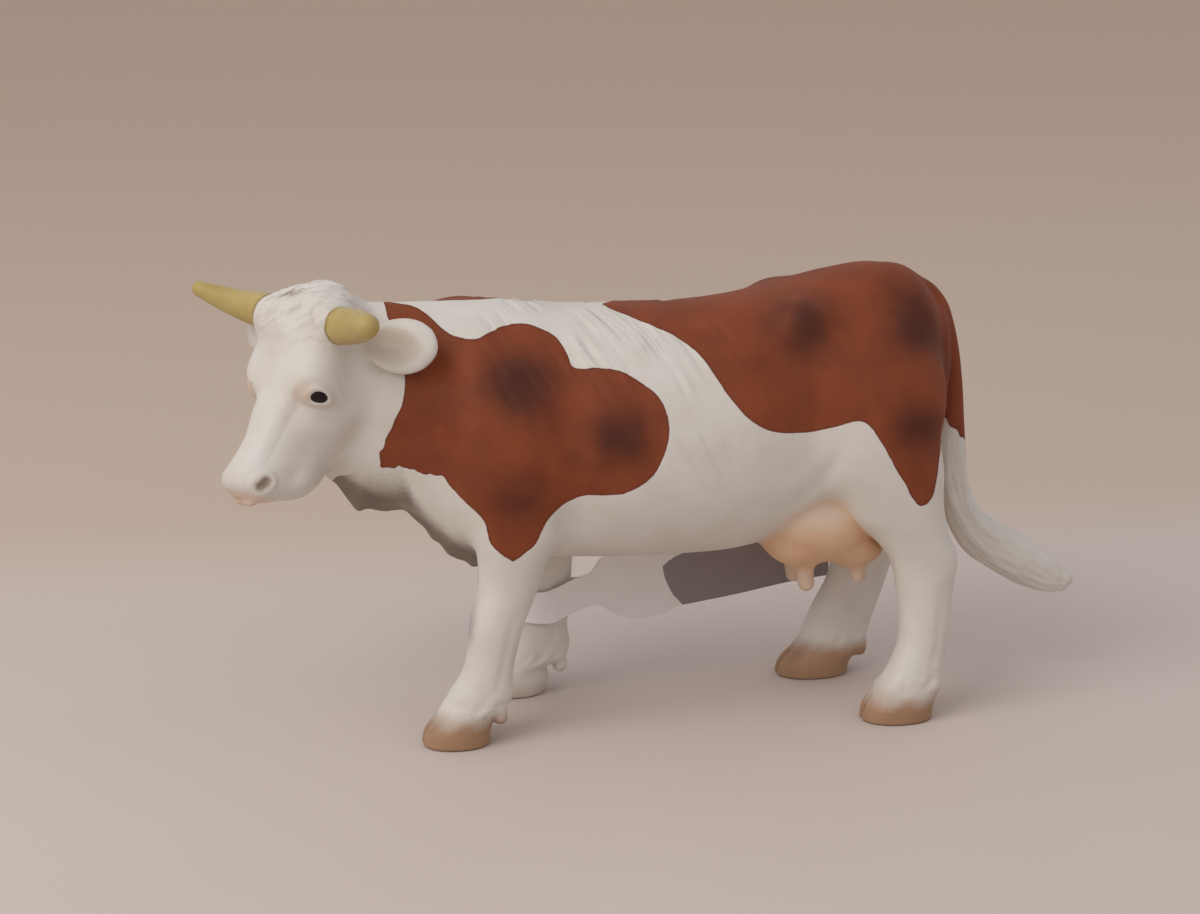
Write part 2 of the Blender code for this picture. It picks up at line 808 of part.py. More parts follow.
def cut_sections():
    """The body form parted into torso, head and legs, with a peg across each parting face."""
    bm = bmesh.new()
    trunk_into(bm, trunk_shares)
    swellings_into(bm)
    dewlap_into(bm)
    for name in legs:
        leg_into(bm, name)
    body = new_object("body_form", bm)
    soften(body, body_grain, body_triangles)
    joint_point, joint_normal = neck_joint()
    half_gap = joint_normal * (parting_gap / 2)
    pieces = {"torso": copy_of(body, "torso"), "head": head_form()}
    combine(pieces["torso"], half_space("neck_side", joint_point - half_gap, -joint_normal), "INTERSECT")
    combine(pieces["head"], half_space("head_side", joint_point + half_gap, joint_normal), "INTERSECT")
    for name in legs:
        pieces[name] = copy_of(body, name)
        top = parting_height - parting_gap
        combine(pieces[name], leg_space(name, 0, top), "INTERSECT")
        combine(pieces["torso"], leg_space(name, -cut_overrun, parting_height), "DIFFERENCE")
        base = leg_at(name, top)[0]
        add_peg(pieces[name], pieces["torso"], base, Z, peg_diameter)
    bpy.data.objects.remove(body, do_unlink=True)
    add_peg(pieces["torso"], pieces["head"], joint_point - half_gap, joint_normal, neck_peg_diameter)
    return pieces


def build():
    remove_everything()
    pieces = cut_sections()
    for name, side in (("left_horn", 1), ("right_horn", -1)):
        pieces[name] = horn(name, side)
        combine(pieces["head"], horn("horn_socket", side, parting_gap), "DIFFERENCE")
    for name, side in (("left_ear", 1), ("right_ear", -1)):
        pieces[name] = ear(name, side)
        for section in ("head", "torso"):
            combine(pieces[section], ear_leaf("ear_socket", side, parting_gap), "DIFFERENCE")
    pieces["udder"] = udder_form("udder")
    for section in ("torso", "hind_left_leg", "hind_right_leg"):
        combine(pieces[section], udder_form("udder_socket", parting_gap), "DIFFERENCE")
    pieces["tail"] = tail("tail")
    combine(pieces["torso"], tail("tail_socket", parting_gap), "DIFFERENCE")
    pieces["tag"] = tag("tag")

    white = (0.72, 0.70, 0.66)
    brown = (0.22, 0.055, 0.030)
    horn_yellow = (0.40, 0.33, 0.13)
    looks = {
        "torso": ("brown painted vinyl", brown, 0.6),
        "tail": ("brown painted vinyl", brown, 0.6),
        "left_horn": ("horn paint", horn_yellow, 0.5),
        "right_horn": ("horn paint", horn_yellow, 0.5),
        "udder": ("udder paint", (0.62, 0.40, 0.27), 0.6),
        "tag": ("coated card", (0.55, 0.55, 0.58), 0.4),
    }
    for name, thing in pieces.items():
        shade(thing)
        paint(thing, *looks.get(name, ("white vinyl", white, 0.6)))

    # Set the origin under the middle of the bounding box
    bpy.context.view_layer.update()
    corners = np.array([thing.matrix_world @ vertex.co for thing in pieces.values()
                        for vertex in thing.data.vertices])
    low = corners.min(axis=0)
    high = corners.max(axis=0)
    stand = bpy.data.objects.new("figure", None)
    bpy.context.scene.collection.objects.link(stand)
    for thing in pieces.values():
        thing.parent = stand
    stand.location = (-(low[0] + high[0]) / 2, -(low[1] + high[1]) / 2, -low[2])
    bpy.context.view_layer.update()
    print("Size", [round(float(value), 5) for value in high - low])
    print("Moved by", [round(value, 5) for value in stand.location])
    print("Tag axis", [round(value, 5) for value in pieces["tag"].matrix_world.translation])


build()
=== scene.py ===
"""Toy farm cow: a hand-painted solid vinyl figure, with a paper tag looped round one foreleg.

Places and lengths are in millimetres in the cow's own frame unless a line says otherwise: it faces -X,
its left flank faces -Y, its middle plane is y = 0 and it stands at height zero.
All sections are skinned from one body form and cut where the moulded sections part, so that no step
shows where they meet.
"""

import bpy
import numpy as np
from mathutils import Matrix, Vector
from mathutils.geometry import tessellate_polygon


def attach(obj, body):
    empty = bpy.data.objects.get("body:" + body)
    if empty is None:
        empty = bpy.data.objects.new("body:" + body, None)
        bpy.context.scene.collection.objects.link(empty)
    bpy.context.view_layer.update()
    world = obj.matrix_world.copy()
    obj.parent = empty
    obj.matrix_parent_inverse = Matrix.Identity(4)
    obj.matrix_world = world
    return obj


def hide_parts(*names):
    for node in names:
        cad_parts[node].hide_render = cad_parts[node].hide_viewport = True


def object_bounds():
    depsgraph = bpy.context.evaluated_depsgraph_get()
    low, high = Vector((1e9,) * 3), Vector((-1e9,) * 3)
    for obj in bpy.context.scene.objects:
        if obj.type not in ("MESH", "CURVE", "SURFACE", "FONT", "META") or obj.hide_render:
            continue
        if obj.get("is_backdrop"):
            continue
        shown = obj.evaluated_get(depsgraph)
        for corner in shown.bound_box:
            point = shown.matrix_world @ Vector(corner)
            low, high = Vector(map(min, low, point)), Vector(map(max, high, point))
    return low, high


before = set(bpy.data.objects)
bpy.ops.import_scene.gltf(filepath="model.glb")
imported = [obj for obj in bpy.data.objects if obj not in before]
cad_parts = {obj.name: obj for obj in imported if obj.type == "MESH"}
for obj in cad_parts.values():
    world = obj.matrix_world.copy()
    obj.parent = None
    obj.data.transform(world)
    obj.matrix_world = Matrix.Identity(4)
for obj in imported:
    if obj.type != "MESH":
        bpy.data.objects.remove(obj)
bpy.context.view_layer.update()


# Clay master
# The modeller's sculpt of the whole cow, from which the moulds of all sections are taken. It is one
# continuous form, given by how far a point lies outside it, so a section's skin runs on into the next.

# Where the cow's own frame stands in the part's frame, in millimetres
stand = np.array([-3.55, 2.49, 0.0])
coarse = 1.0

# Trunk and neck: place, top, widest height, underside, half width, squareness of the back
trunk_rows = [
    (-50.0, 68.8, 54.1, 43.8, 6.6, 2.0),
    (-46.0, 69.2, 53.8, 41.1, 7.4, 2.0),
    (-42.0, 69.0, 53.4, 38.4, 8.2, 1.9),
    (-38.0, 68.8, 53.1, 36.6, 9.0, 1.8),
    (-33.0, 68.7, 52.1, 32.9, 10.8, 1.7),
    (-28.0, 68.6, 51.4, 28.8, 13.4, 1.7),
    (-22.0, 68.3, 48.6, 26.9, 15.4, 1.75),
    (-14.0, 67.6, 46.6, 27.0, 16.8, 1.9),
    (-4.0, 67.3, 45.6, 26.7, 17.9, 2.05),
    (6.0, 67.1, 45.6, 26.6, 18.3, 2.15),
    (16.0, 67.8, 47.2, 27.0, 17.9, 2.3),
    (24.0, 69.3, 49.5, 28.7, 16.6, 2.4),
    (32.0, 71.4, 51.5, 31.8, 14.6, 2.4),
    (40.0, 72.3, 54.8, 36.4, 12.4, 2.2),
    (46.0, 70.6, 56.2, 41.8, 9.9, 2.0),
    (49.5, 66.1, 56.2, 45.9, 5.9, 2.0),
]
trunk_front = -52.0
trunk_rear = 51.5


def along(table, place):
    """Read smooth curves through the rows of a table at the given places of its first column."""
    rows = np.array(table)
    knots = rows[:, 0]
    values = rows[:, 1:]
    slopes = np.gradient(values, knots, axis=0)
    place = np.clip(place, knots[0], knots[-1])
    index = np.clip(np.searchsorted(knots, place, side="right") - 1, 0, len(knots) - 2)
    span = knots[index + 1] - knots[index]
    share = (place - knots[index]) / span
    rest = 1 - share
    start = (rest ** 2 * (1 + 2 * share))[:, None]
    end = (share ** 2 * (1 + 2 * rest))[:, None]
    leave = (span * share * rest ** 2)[:, None]
    reach = (span * share ** 2 * rest)[:, None]
    read = values[index] * start + values[index + 1] * end
    read = read + slopes[index] * leave - slopes[index + 1] * reach
    return read.T


def melt(one, other, soft):
    """Join two forms with a fillet about as wide as soft."""
    share = np.clip(0.5 + 0.5 * (other - one) / soft, 0, 1)
    return other + (one - other) * share - soft * share * (1 - share)


def pare(one, cutter, soft):
    """Take the cutter's form off the other with a rounded edge."""
    return -melt(-one, cutter, soft)


def oval(across, level, half, reach, power):
    """How far a point lies outside a boxy oval, given its place from the oval's middle."""
    side = np.abs(across) / half
    rise = np.abs(level) / reach
    size = (side ** power + rise ** power) ** (1 / power) + 1e-6
    steep = np.hypot(side ** (power - 1) / half, rise ** (power - 1) / reach) * size ** (1 - power)
    return (size - 1) / np.maximum(steep, 0.5 / np.maximum(half, reach))


def egg(place, middle, radii):
    """How far a point lies outside an egg with the given half sizes."""
    away = (place - np.array(middle)) / np.array(radii)
    size = np.sqrt((away ** 2).sum(axis=1)) + 1e-6
    steep = np.sqrt(((away / np.array(radii)) ** 2).sum(axis=1)) + 1e-6
    return size * (size - 1) / steep


def travelled(points):
    """How far along a bent line each of its points lies."""
    return np.concatenate([[0], np.cumsum(np.linalg.norm(np.diff(points, axis=0), axis=1))])


def line_distance(place, points):
    """The distance to a bent line, and how far along the line its nearest point lies, from 0 to 1."""
    points = np.array(points, float)
    steps = np.linalg.norm(np.diff(points, axis=0), axis=1)
    passed = np.concatenate([[0], np.cumsum(steps)]) / steps.sum()
    best = np.full(len(place), 1e9)
    run = np.zeros(len(place))
    for index in range(len(steps)):
        way = points[index + 1] - points[index]
        away = place - points[index]
        share = np.clip(away @ way / (way @ way), 0, 1)
        far = np.linalg.norm(away - share[:, None] * way, axis=1)
        nearer = far < best
        best[nearer] = far[nearer]
        run[nearer] = (passed[index] + share * (passed[index + 1] - passed[index]))[nearer]
    return best, run


def noise(one, two, three, seed):
    """Soft random values from -1 to 1 that change over a distance of one."""
    cells = []
    parts = []
    for value in (one, two, three):
        whole = np.floor(value)
        part = value - whole
        cells.append(whole.astype(np.int64))
        parts.append(part * part * (3 - 2 * part))
    total = 0
    for corner in range(8):
        weight = 1.0
        code = np.int64(seed * 668265263)
        for axis, prime in enumerate((73856093, 19349663, 83492791)):
            step = corner >> axis & 1
            weight = weight * (parts[axis] if step else 1 - parts[axis])
            code = code ^ (cells[axis] + step) * prime
        code = (code ^ code >> 13) * 1274126177 & 0xFFFFFFFF
        total = total + weight * ((code >> 9 & 65535) / 32767.5 - 1)
    return total


def trunk(p):
    """Trunk and neck, round above and boxier below."""
    x, y, z = p.T
    top, wide, under, half, back_power = along(trunk_rows, x)
    level = z - wide
    above = level > 0
    reach = np.where(above, top - wide, wide - under)
    tube = oval(y, level, half, reach, np.where(above, back_power, 2.2))
    ends = np.maximum(trunk_front - x, x - trunk_rear)
    return -melt(-tube, -ends, 3.5)


# Legs: height, place fore and aft, half depth, half width, from below the sole upwards
leg_rows = {
    "front_left_leg": [
        (-2.4, -30.6, 5.4, 4.6), (0.0, -30.6, 5.4, 4.6), (2.4, -30.2, 5.2, 4.7), (4.6, -28.9, 4.7, 4.4),
        (6.3, -27.3, 5.2, 4.2),
        (7.9, -26.5, 5.1, 4.0), (11.0, -25.5, 4.1, 3.9), (15.1, -24.5, 3.9, 4.0), (19.5, -23.7, 4.35, 4.2),
        (24.0, -22.2, 4.6, 4.4), (30.0, -21.1, 5.4, 5.0), (34.9, -20.8, 6.7, 5.8), (41.8, -21.6, 8.4, 6.2),
        (50.0, -22.0, 8.4, 5.8), (54.8, -22.3, 6.9, 4.5), (58.9, -22.5, 4.3, 2.3),
    ],
    "front_right_leg": [
        (-2.4, -18.6, 5.8, 4.6), (0.0, -18.6, 5.8, 4.6), (2.4, -17.9, 5.8, 4.7), (4.6, -17.1, 4.9, 4.4),
        (6.5, -14.2, 5.3, 4.2), (7.9, -13.7, 5.15, 4.0),
        (11.0, -13.2, 4.3, 3.9), (15.1, -12.9, 4.3, 4.0), (19.5, -12.9, 4.6, 4.4),
        (24.0, -13.0, 5.0, 4.5), (30.0, -13.8, 6.4, 5.1), (34.9, -15.0, 7.5, 5.8), (41.8, -17.0, 8.4, 6.2),
        (50.0, -18.2, 8.4, 5.8), (54.8, -18.9, 6.9, 4.5), (58.9, -19.4, 4.3, 2.3),
    ],
    "hind_left_leg": [
        (-2.4, 41.0, 5.9, 4.5), (0.0, 41.0, 5.9, 4.5), (2.4, 41.4, 5.8, 4.6), (5.0, 42.8, 5.3, 4.2),
        (8.0, 44.0, 4.5, 3.9), (12.0, 45.3, 4.0, 3.7), (16.0, 45.7, 4.1, 3.8), (21.0, 45.7, 4.6, 4.0),
        (26.5, 45.3, 5.6, 4.4), (30.8, 42.9, 6.4, 5.0), (34.9, 40.8, 7.7, 5.9), (40.1, 38.7, 9.5, 6.9),
        (45.9, 36.9, 10.6, 7.5), (51.4, 37.0, 11.5, 7.7), (56.9, 36.8, 11.2, 6.8), (61.6, 36.2, 9.0, 4.9),
        (65.8, 35.6, 5.6, 2.3),
    ],
    "hind_right_leg": [
        (-2.4, 33.1, 6.2, 4.5), (0.0, 33.1, 6.2, 4.5), (2.4, 33.7, 6.1, 4.6), (5.0, 36.1, 6.0, 4.2),
        (8.0, 37.2, 5.7, 3.9), (12.0, 38.7, 5.5, 3.7), (16.0, 40.4, 5.1, 3.8), (21.0, 41.7, 5.3, 4.0),
        (26.5, 42.1, 6.4, 4.4), (30.8, 41.0, 7.1, 5.0), (34.9, 39.5, 8.2, 5.9), (40.1, 38.0, 9.7, 6.9),
        (45.9, 36.7, 11.2, 7.5), (51.4, 37.0, 12.0, 7.7), (56.9, 36.5, 11.2, 6.8), (61.6, 36.0, 9.0, 4.9),
        (65.8, 35.6, 5.6, 2.3),
    ],
}
# How far each leg's middle stands out at its sole and at its top, the right legs on +Y
leg_stance = {
    "front_left_leg": (-12.0, -9.8),
    "front_right_leg": (10.3, 9.8),
    "hind_left_leg": (-13.5, -9.0),
    "hind_right_leg": (10.5, 9.0),
}


def leg_middle(name, z):
    """Where a leg's middle lies at a height, with its half depth and half width."""
    place, depth, width = along(leg_rows[name], z)
    sole, top = leg_stance[name]
    highest = leg_rows[name][-1][0]
    return place, sole + (top - sole) * np.clip(z / highest, 0, 1), depth, width


# How high each leg's two dewclaws sit
dewclaw_height = {
    "front_left_leg": 6.3, "front_right_leg": 6.6,
    "hind_left_leg": 7.5, "hind_right_leg": 6.2,
}


def leg(p, name):
    """One leg with its hoof, from inside the trunk down to the sole."""
    x, y, z = p.T
    place, out, depth, width = leg_middle(name, z)
    shaft = oval(y - out, x - place, width, depth, 2.2)
    top = z - leg_rows[name][-1][0]
    shaft = -melt(-shaft, -top, 3.0)
    # The hoof is cloven in front and at the heel, with two dewclaws behind
    aside = np.abs(y - out)
    ahead = (x - place) / depth
    low = np.clip((4.6 - z) / 1.2, 0, 1)
    shaft = shaft + low * np.exp(-(aside / 0.42) ** 2) * (0.8 * (ahead < -0.3) + 0.8 * (ahead > 0.3))
    ring = np.exp(-((z - 4.4 + 0.9 * ahead) / 0.55) ** 2)
    shaft = shaft - 0.06 * ring + 0.01 * np.sin(z * 7.5 + noise(x / 2, y / 2, z, 61)) * low
    claw = dewclaw_height[name]
    claw_place, _, claw_depth, _ = (value[0] for value in leg_middle(name, np.array([claw])))
    heel = claw_place + claw_depth
    both = np.stack([x, aside, z], axis=1)
    far, run = line_distance(both, [(heel - 1.9, 1.6, claw + 1.0), (heel - 1.6, 1.9, claw - 1.9)])
    shaft = melt(shaft, far - 1.45 + 0.3 * run, 0.9)
    # Hair fringe over the hoof, and sinews behind the cannon bone
    turn = np.arctan2(y - out, x - place)
    fringe = noise(2.6 * np.cos(turn), 2.6 * np.sin(turn), z / 1.8 + out, 62)
    fringe = fringe * np.exp(-((z - 6.4) / 1.8) ** 2)
    sinew = np.exp(-((np.abs(turn) - 1.15) / 0.22) ** 2)
    sinew = sinew * np.clip((z - 8) / 3, 0, 1) * np.clip((24 - z) / 6, 0, 1)
    shaft = shaft + 0.34 * fringe + 0.22 * sinew
    return -melt(-shaft, z, 0.5)


# The dewlap, a thin fold of skin that hangs from throat to brisket in two lobes: place and lower edge
dewlap_rows = [
    (-51.5, 44.5), (-49.8, 42.6), (-48.8, 41.0), (-47.2, 39.6), (-45.6, 37.0), (-44.2, 35.4), (-42.6, 35.4),
    (-40.2, 34.9), (-38.4, 35.3), (-36.8, 35.7), (-35.4, 34.0), (-33.5, 31.6), (-31.6, 29.4), (-29.4, 27.2),
    (-27.2, 25.8), (-25.0, 25.1), (-21.0, 26.4),
]


def dewlap(p):
    """The hanging fold, thin at its wavy lower edge and thicker upwards."""
    x, y, z = p.T
    edge = along(dewlap_rows, x)[0] + 0.35 * noise(x / 1.3, 0 * x, 0 * x, 3)
    drop = z - edge
    wave = 0.45 * noise(x / 4.5, z / 9, 0 * x, 5) * np.clip(1.3 - drop / 9, 0, 1)
    thick = 0.55 + 0.16 * np.clip(drop, 0, 14)
    sheet = np.abs(y - wave) - thick
    ends = np.maximum(-52.5 - x, x + 21.0)
    return -melt(melt(-sheet, drop, 0.9), -ends, 1.5)


# Muscles and bones on both flanks: middle, reach along the three axes, height of the swelling
body_dabs = [
    (46.5, 5.0, 60.0, 3.5, 4.5, 6.0, 1.5),
    (48.5, 7.0, 48.0, 3.5, 5.0, 5.0, -0.8),
    (-22.5, 13.5, 46.0, 9.0, 8.0, 14.0, 1.0),
    (-27.0, 9.0, 60.0, 5.0, 6.0, 8.0, 0.7),
    (-18.0, 4.0, 68.0, 6.0, 5.0, 3.0, 0.5),
    (-12.0, 14.0, 54.0, 4.0, 7.0, 10.0, -0.6),
    (-11.5, 15.0, 37.0, 3.0, 7.0, 7.0, -0.8),
    (-17.0, 14.5, 33.5, 3.5, 4.0, 3.5, 0.8),
    (0.0, 17.0, 44.0, 12.0, 8.0, 12.0, 0.4),
    (21.5, 12.0, 58.0, 6.0, 7.0, 6.0, -1.3),
    (25.0, 11.0, 67.0, 4.4, 4.0, 3.2, 2.0),
    (45.5, 6.0, 66.0, 3.5, 4.0, 4.0, 1.2),
    (36.0, 11.0, 66.5, 6.0, 5.0, 4.0, -0.5),
    (32.0, 12.0, 33.0, 5.0, 4.5, 3.2, 1.7),
    (28.5, 14.0, 41.0, 4.5, 5.0, 6.0, 0.9),
    (47.0, 12.5, 45.0, 3.5, 5.0, 9.0, 0.5),
    (40.5, 14.0, 46.0, 2.5, 5.0, 9.0, -0.35),
    (-44.0, 7.0, 52.0, 3.0, 5.0, 8.0, -0.4),
    (-36.0, 8.0, 58.0, 6.0, 5.0, 3.0, 0.4),
    (-37.0, 7.5, 50.0, 6.0, 5.0, 2.5, -0.4),
]
# The withers stand higher on the right
withers_dab = (-27.8, 6.5, 66.6, 6.4, 3.5, 3.5, 1.9)
# Folds on both flanks: points, width and depth
body_folds = [
    ([(-16.5, 16, 62), (-13, 17, 54), (-12, 18, 45), (-13, 17, 38), (-15, 15, 33)], 1.6, 0.45),
    ([(-31, 11, 64), (-33, 12, 55), (-31.5, 13, 45), (-29, 12.5, 38)], 1.8, 0.4),
    ([(23, 15, 36), (27, 16, 40), (30.5, 16, 46)], 1.5, 0.45),
    ([(46.5, 13, 58), (45, 14.5, 50), (45.5, 14, 42), (48, 13, 35)], 1.4, 0.4),
]


def dab(form, place, rows):
    """Press soft dabs of clay on, or off where their height is negative."""
    for row in rows:
        away = (place - np.array(row[:3])) / np.array(row[3:6])
        form = form - row[6] * np.exp(-(away ** 2).sum(axis=1))
    return form


def fold(form, place, rows):
    """Draw soft grooves that run out at both ends."""
    for points, width, depth in rows:
        far, run = line_distance(place, points)
        form = form + depth * np.exp(-(far / width) ** 2) * np.sin(np.pi * np.clip(run, 0.02, 0.98)) ** 0.5
    return form


def girth(p):
    """How far round the trunk a point lies from the ridge of the back, in millimetres, left negative."""
    return 20 * np.arctan2(p[:, 1], p[:, 2] - 46.0)


def saddle_comb(p):
    """The lie of the combed hair on the back: places across and along the strokes, and their strength."""
    x = p[:, 0]
    round_body = np.abs(girth(p))
    across = 0.9 * x - 0.45 * round_body
    lengthways = 0.45 * x + 0.9 * round_body
    worn = np.clip(0.5 + 1.2 * noise(x / 6, round_body / 6, 0 * x, 12), 0.1, 1)
    zone = np.exp(-((x + 9) / 23) ** 4) * np.clip(1.35 - round_body / 32, 0, 1)
    return across, lengthways, worn * zone


def saddle_hair(p):
    """Combed hair grooves on the back, one to one and a half millimetres apart."""
    across, lengthways, strength = saddle_comb(p)
    strands = noise(across / 1.1, lengthways / 7.0, np.sign(p[:, 1]) * 3, 11)
    return 0.5 * np.clip(strands, -0.3, 1) * strength


# Head carriage: the poll, then the turn to the left, the nod and the tilt in degrees
poll = np.array([-52.29, -1.0, 72.61])
head_turn, head_nod, head_tilt = np.radians([33.0, 62.0, 6.0])


def turned(angle, axis):
    """The matrix that turns points by an angle about an axis."""
    axis = np.array(axis) / np.linalg.norm(axis)
    cross = np.array([[0, -axis[2], axis[1]], [axis[2], 0, -axis[0]], [-axis[1], axis[0], 0]])
    return np.eye(3) + np.sin(angle) * cross + (1 - np.cos(angle)) * cross @ cross


forward = turned(head_turn, (0, 0, 1)) @ (-1, 0, 0)
tilt = turned(head_tilt, forward)
left_way = tilt @ turned(head_turn, (0, 0, 1)) @ (0, -1, 0)
up_way = tilt @ (0, 0, 1)
nose_way = forward * np.cos(head_nod) - up_way * np.sin(head_nod)
brow_way = forward * np.sin(head_nod) + up_way * np.cos(head_nod)
head_ways = np.array([nose_way, brow_way, left_way])


def in_head(p):
    """Places down the nose, out of the forehead and to the left, from the poll."""
    return (p - poll) @ head_ways.T


# Head along the nose: front line, back line, then half width near the front, in the middle, at the back
head_rows = [
    (-1.4, -3.4, -8.2, 3.0, 3.6, 3.0),
    (0.8, -1.3, -11.8, 6.2, 6.6, 5.5),
    (3.8, 0.2, -15.8, 7.6, 7.9, 6.2),
    (8.0, 0.7, -19.0, 7.6, 8.2, 6.2),
    (13.0, 0.2, -19.3, 7.3, 8.3, 5.8),
    (17.0, -0.5, -18.6, 6.2, 7.9, 5.4),
    (21.0, -0.1, -16.8, 5.3, 6.9, 4.8),
    (25.0, 0.1, -14.9, 4.4, 5.7, 4.3),
    (29.0, 1.0, -13.2, 4.4, 5.2, 4.3),
    (31.6, 1.6, -10.0, 4.2, 5.1, 4.1),
    (33.4, 0.8, -6.4, 3.5, 4.3, 3.2),
    (34.6, -0.9, -3.9, 2.2, 2.8, 1.8),
]
# On both sides of the head, mirrored: middle (down the nose, out, aside), reach, height of the swelling
head_dabs = [
    (19.8, -2.6, 5.8, 2.6, 2.0, 2.2, -0.5),
    (15.0, -12.5, 7.5, 5.5, 5.5, 4.0, 0.8),
    (24.0, -6.5, 6.0, 3.5, 4.0, 2.5, -0.8),
    (31.4, -1.0, 4.4, 2.0, 2.0, 1.6, 0.7),
    (30.0, -9.2, 3.6, 3.4, 2.6, 3.2, 0.9),
    (29.0, -6.0, 5.6, 1.6, 1.6, 1.6, -0.3),
    (10.5, 0.8, 0.0, 3.5, 3.0, 3.0, -0.3),
    (5.3, 0.4, 6.9, 2.4, 2.4, 2.4, 0.5),
    (5.0, -2.6, 8.6, 3.0, 3.0, 1.6, 0.6),
    (6.0, -9.0, 8.2, 3.0, 3.0, 2.5, 0.6),
]
head_folds = [
    ([(33.4, -6.9, 1.5), (32.0, -8.4, 4.2), (29.0, -9.8, 5.2), (26.4, -10.6, 5.6)], 0.45, 0.25),
    ([(33.0, 0.2, 0.0), (34.5, -1.4, 0.0), (34.8, -3.0, 0.0)], 0.5, 0.12),
    ([(21.5, -16.0, 4.5), (15.5, -17.8, 6.8), (11.5, -15.8, 7.7), (8.0, -11.8, 8.2)], 1.3, 0.6),
    ([(14.8, -7.4, 8.4), (12.9, -5.6, 8.6), (12.2, -3.0, 8.2)], 0.6, 0.2),
]

# Eye: its middle on the left side of the head, the long and the short way across it, and their half sizes
eye_middle = np.array([16.6, -3.6, 8.15])
eye_long = np.array([-0.48, -0.78, 0.40])
eye_out = np.array([0.53, 0.11, 0.84])
eye_long = eye_long - eye_out * (eye_long @ eye_out) / (eye_out @ eye_out)
eye_long = eye_long / np.linalg.norm(eye_long)
eye_out = eye_out / np.linalg.norm(eye_out)
eye_short = np.cross(eye_long, eye_out)
eye_half_long = 1.34
eye_half_short = 1.02


def eye_place(both):
    """Where a point lies across the eye: 1 at the painted edge, and the same in millimetres from it."""
    away = both - eye_middle
    long = away @ eye_long
    short = away @ eye_short + 0.2 * long + 0.12 * long ** 2
    size = np.hypot(long / eye_half_long, short / eye_half_short)
    return size, (1 - size) * eye_half_short


def skull(p):
    """The head without ears and horns."""
    nose, brow, left = in_head(p).T
    front, back, near, middle_half, far = along(head_rows, nose)
    middle = (front + back) / 2
    reach = (front - back) / 2
    level = (brow - middle) / reach
    lean = np.clip(level / 0.7, -1, 1) ** 2
    half = middle_half + (np.where(level > 0, near, far) - middle_half) * lean
    shell = oval(left, brow - middle, half, reach, np.where(level > 0, 2.9, 2.4))
    ends = np.maximum(-2.0 - nose, nose - 35.3)
    shell = -melt(-shell, -ends, 2.0)
    both = np.stack([nose, brow, np.abs(left)], axis=1)
    shell = melt(shell, egg(in_head(p), (5.9, -3.9, -1.6), (5.7, 4.9, 7.9)), 2.6)
    shell = melt(shell, egg(both, (5.0, -3.2, 7.4), (3.4, 3.2, 2.3)), 2.4)
    shell = melt(shell, egg(both, (13.7, -4.0, 6.0), (4.7, 3.8, 3.2)), 3.0)
    shell = dab(shell, both, head_dabs)
    shell = fold(shell, both, head_folds)
    # Eyeball between its lids, and the comma of the nostril
    size = eye_place(both)[0]
    beside = np.linalg.norm(both - eye_middle, axis=1) < 4
    lid = np.exp(-((size - 1.4) / 0.3) ** 2) - 0.6 * np.exp(-((size - 2.3) / 0.5) ** 2)
    shell = shell - beside * (0.17 * lid + 0.28 * np.clip(1.1 - size, 0, 0.7))
    far, run = line_distance(both, [(32.3, -0.8, 4.6), (31.3, -1.4, 5.0)])
    shell = shell - 0.22 * np.exp(-((far - 1.4) / 0.6) ** 2)
    return pare(shell, far - 0.45 - 0.25 * run, 0.7)


def poll_comb(p):
    """The lie of the hair on poll and brow: places across and along the strokes, and their strength."""
    nose, brow, left = in_head(p).T
    bend = 1.6 * noise(nose / 4, left / 4, brow / 4, 21)
    zone = np.exp(-((nose - 3.2) / 5.6) ** 4 - (left / 8.8) ** 4) * np.clip((brow + 10) / 4, 0, 1)
    comb = np.exp(-((nose - 10) / 4.5) ** 4 - (left / 4.5) ** 4) * np.clip((brow + 4) / 3, 0, 1)
    return left + bend, nose - bend, np.maximum(zone, 0.6 * comb)


def poll_curls(p):
    """The curly tuft between the horns and the combed hair of the brow."""
    nose, brow, left = in_head(p).T
    across, lengthways, strength = poll_comb(p)
    curl = noise((nose + across - left) / 2.0, lengthways / 2.0 + left / 2.0, brow / 2.4, 22)
    strand = noise(across / 0.9, lengthways / 3.0, brow / 3.0, 23)
    tuft = np.clip(1.4 - np.maximum(nose - 1, 0) / 8, 0, 1)
    return strength * (tuft * 0.48 * (1 - 2 * np.abs(curl)) + 0.2 * strand)


# Fillet where a leg leaves the trunk, on its thigh or shoulder and down at the belly
thigh_fillet = 3.2
belly_fillet = 1.6


def flesh(p):
    """Trunk, legs, dewlap and head as one form, without udder, tail and ears."""
    form = trunk(p)
    for name, rows in leg_rows.items():
        places = np.array(rows)[:, 1]
        wide = max(abs(value) for value in leg_stance[name]) + 14
        side = np.sign(leg_stance[name][0])
        here = (p[:, 0] > places.min() - 18) & (p[:, 0] < places.max() + 18)
        here &= (p[:, 1] * side > -6) & (p[:, 1] * side < wide)
        upper = np.clip((p[here, 2] - 24) / 10, 0, 1)
        fillet = belly_fillet + (thigh_fillet - belly_fillet) * upper
        form[here] = melt(form[here], leg(p[here], name), fillet)
    here = (p[:, 0] < -17) & (np.abs(p[:, 1]) < 9) & (p[:, 2] < 60)
    form[here] = melt(form[here], dewlap(p[here]), 2.2)
    here = (p[:, 0] < -34) & (p[:, 2] > 30)
    form[here] = melt(form[here], skull(p[here]), 3.0)
    return form


